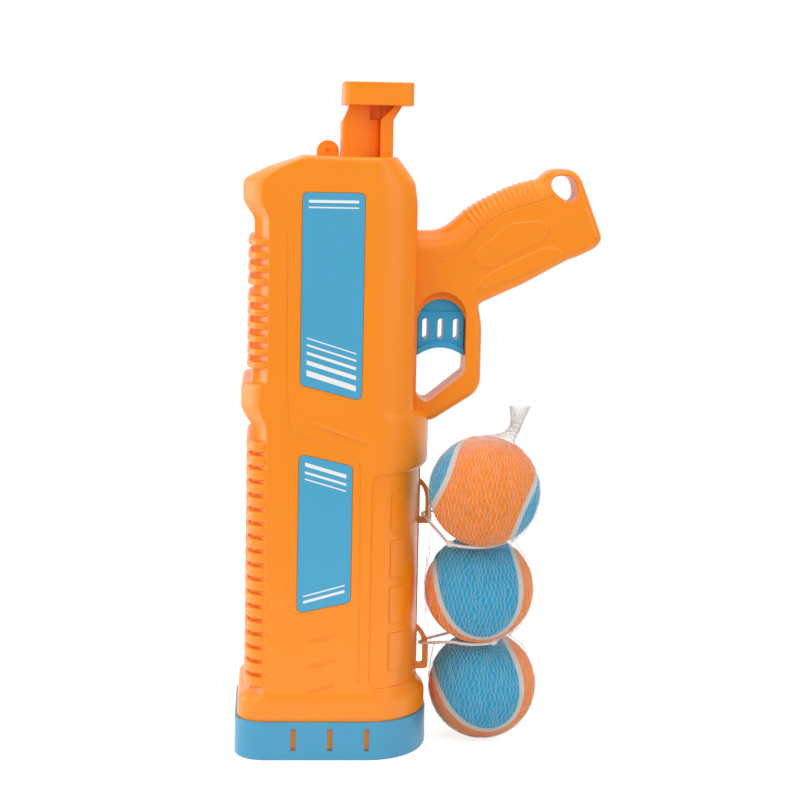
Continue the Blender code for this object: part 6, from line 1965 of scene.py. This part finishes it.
def white_floor():
    """A matt white floor that keeps the object's shadow."""
    bm = bmesh.new()
    place = Matrix.Translation((0.0, FLOOR_BACK, -FLOOR_DROP))
    bmesh.ops.create_grid(bm, x_segments=1, y_segments=1, size=FLOOR_HALF, matrix=place)
    floor = from_bmesh(bm)
    made, tree, shader, _, _ = toned("matt white floor", "#E6E6E6", "#E2E2E2", FLOOR_GRAIN, 2.0)
    glow = node(tree, "ShaderNodeMath", {0: seen_ray(tree), 1: FLOOR_GLOW}, operation="MULTIPLY")
    feed(shader, {
        "Roughness": FLOOR_ROUGHNESS, "Specular IOR Level": 0.0, "Emission Color": colour("#FFFFFF"),
        "Emission Strength": glow.outputs[0],
    })
    floor.data.materials.append(made)


def white_world():
    """A white world behind the object, and dimmer where it only lights or is mirrored."""
    world = bpy.data.worlds.new("studio")
    bpy.context.scene.world = world
    world.use_nodes = True
    tree = world.node_tree
    direction = node(tree, "ShaderNodeTexCoord").outputs["Generated"]
    deep = node(tree, "ShaderNodeSeparateXYZ", {0: direction}).outputs["Y"]
    sweep = node(tree, "ShaderNodeMapRange", {
        "Value": deep, "From Min": ROOM_START, "From Max": ROOM_END, "To Min": ROOM_LIGHT,
        "To Max": BACKGROUND_WHITE,
    })
    ray = node(tree, "ShaderNodeLightPath").outputs
    level = node(tree, "ShaderNodeMix", {0: ray["Is Glossy Ray"], 2: WORLD_LIGHT, 3: sweep.outputs[0]})
    for kind in ("Is Transmission Ray", "Is Camera Ray"):
        level = node(tree, "ShaderNodeMix", {0: ray[kind], 2: level.outputs[0], 3: BACKGROUND_WHITE})
    feed(tree.nodes["Background"], {"Color": colour("#FFFFFF"), "Strength": level.outputs[0]})


# The noise would take its seed from the clock, and the net would differ from run to run
noise.seed_set(NET_SEED)
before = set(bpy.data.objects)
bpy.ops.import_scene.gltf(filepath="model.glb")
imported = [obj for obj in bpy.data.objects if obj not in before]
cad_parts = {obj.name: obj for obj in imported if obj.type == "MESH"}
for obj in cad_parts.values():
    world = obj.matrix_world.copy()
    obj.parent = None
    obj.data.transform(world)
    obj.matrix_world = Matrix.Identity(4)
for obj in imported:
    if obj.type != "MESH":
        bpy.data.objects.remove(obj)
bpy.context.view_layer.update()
bpy.context.scene.view_settings.view_transform = "Standard"
barrel_low, barrel_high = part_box("barrel_tube")
SHIFT = Vector((
    (barrel_low.x + barrel_high.x) / 2 - BORE_X, (barrel_low.y + barrel_high.y) / 2,
    barrel_low.z - BARREL_LOW,
))
add_camera()
white_floor()
white_world()
for lamp in LAMPS:
    add_light(*lamp)

ORANGE_ABS = moulded("orange moulded ABS", "#FF910A", "#FB8C08")
BLUE_ABS = moulded("blue moulded ABS", "#429FC6", "#3E9AC2")
# The trigger's blue is a lighter copy of the blue ABS. It is painted light, standing in for the light that
# its sunk place in the guard doesn't get.
TRIGGER_ABS_PAINTED_LIGHTER = moulded("blue moulded ABS with painted light", "#38ACE0", "#35A7DA")
GREY_ABS = moulded("grey moulded ABS", "#8C8F93", "#86898D", INNER_ABS_ROUGHNESS)
BLUE_VINYL = printed_vinyl("satin blue vinyl", "#47A8CF", VINYL_ROUGHNESS)
WHITE_INK = printed_vinyl("white screen ink", "#F2F2F2", INK_ROUGHNESS)
BALL_FELT = ball_felt("needled ball felt", "#2CA0CA", "#F4861C", "#D0CEC8")
NET_PLASTIC = milky_plastic("milky polyethylene net", "#DAD8D6", "#E8E6E4")
NYLON = milky_plastic("natural nylon", "#EFE9E2", "#FFFFFF")
ZINC_STEEL = zinc_steel("zinc-plated steel")
RUBBER = soft_rubber("black soft rubber")
FOAM = soft_rubber("black foam rubber")
ROW_TREE = row_tree(ORANGE_ABS)

left_half, right_half = housing_halves()
screw_nodes = [f"housing_screw_{index}" for index in range(1, len(screw_places()) + 1)]
finished(left_half, "left_moulded_half", [ORANGE_ABS], "housing", "housing", "left_housing_half")
finished(right_half, "right_moulded_half", [ORANGE_ABS], "housing", "housing", "right_housing_half")
finished(muzzle_ring(), "slotted_muzzle_ring", [BLUE_ABS], "housing", "trim", "muzzle_ring")
finished(ball_retainer(), "fingered_retainer", [RUBBER], "housing", "soft_rubber", "ball_retainer")
finished(barrel_tube(), "smooth_barrel", [GREY_ABS], "housing", "inner_plastic", "barrel_tube")
finished(plunger_buffer(), "foam_buffer", [FOAM], "plunger", "soft_rubber", "plunger_buffer")
finished(plunger_seal(), "ring_seal", [RUBBER], "plunger", "soft_rubber", "plunger_seal")
main_coil = coil_spring("main_spring", BORE_X, SPRING_R, SPRING_WIRE_R, SPRING_TURNS)
sear_coil = coil_spring("sear_spring", SEAR_SPRING_X, SEAR_SPRING_R, SEAR_WIRE_R, SEAR_SPRING_TURNS)
finished(main_coil, "main_coil", [ZINC_STEEL], "housing", "steel", "main_spring")
finished(sear_coil, "sear_coil", [ZINC_STEEL], "housing", "steel", "sear_spring")
finished(cocking_handle(), "pull_handle", [ORANGE_ABS], "plunger", "housing", "cocking_handle")
finished(trigger(), "slotted_trigger", [TRIGGER_ABS_PAINTED_LIGHTER], "trigger_body", "trim", "trigger")
finished(housing_screws(), "housing_screws", [ZINC_STEEL], "housing", "steel", *screw_nodes)
for name, corners, bars in LABELS:
    near_label = label(filleted(corners, LABEL_CORNER), bars)
    far_label = mirrored(near_label)
    for side, panel in (("left", near_label), ("right", far_label)):
        finished(panel, f"{name}_{side}_panel", [BLUE_VINYL, WHITE_INK], "housing", "label", f"{name}_{side}")
for index, (centre, turns, slot) in enumerate(zip(ball_centres(), BALL_TURNS, BALL_SLOTS), start=1):
    ball = tennis_ball(centre, turns)
    finished(ball, f"felt_ball_{index}", [BALL_FELT], "ball_pack", slot, f"tennis_ball_{index}")
finished(net_sleeve(), "knotted_net", [NET_PLASTIC], "ball_pack", "net", "net_sleeve")
lower_neck, upper_neck = necks()
upper_tie = tie(upper_neck, UPPER_LOOP_LOW + LOOP_BAR + UPPER_TIE_LIFT, UPPER_HEAD_STEPS)
lower_tie = tie(lower_neck, LOWER_LOOP_LOW + LOOP_BAR + LOWER_TIE_LIFT, LOWER_HEAD_STEPS)
finished(upper_tie, "upper_nylon_tie", [NYLON], "ball_pack", "nylon", "upper_tie")
finished(lower_tie, "lower_nylon_tie", [NYLON], "ball_pack", "nylon", "lower_tie")

# Each coil gets a mesh of its own; neither shortens here, though the trigger's pull swings the lever's tail
# towards the sear spring
squashed(main_coil)
squashed(
    sear_coil
)

# The inner pieces keep their CAD shapes
steel_nodes = ["plunger_screw", "plunger_rod", "rod_pin", "spring_seat", "sear_lever", "sear_pin"]
inner_finishes = {"plunger_head": GREY_ABS, **dict.fromkeys(steel_nodes, ZINC_STEEL)}
for name, finish in inner_finishes.items():
    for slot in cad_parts[name].material_slots:
        slot.material = finish

bpy.context.view_layer.update()
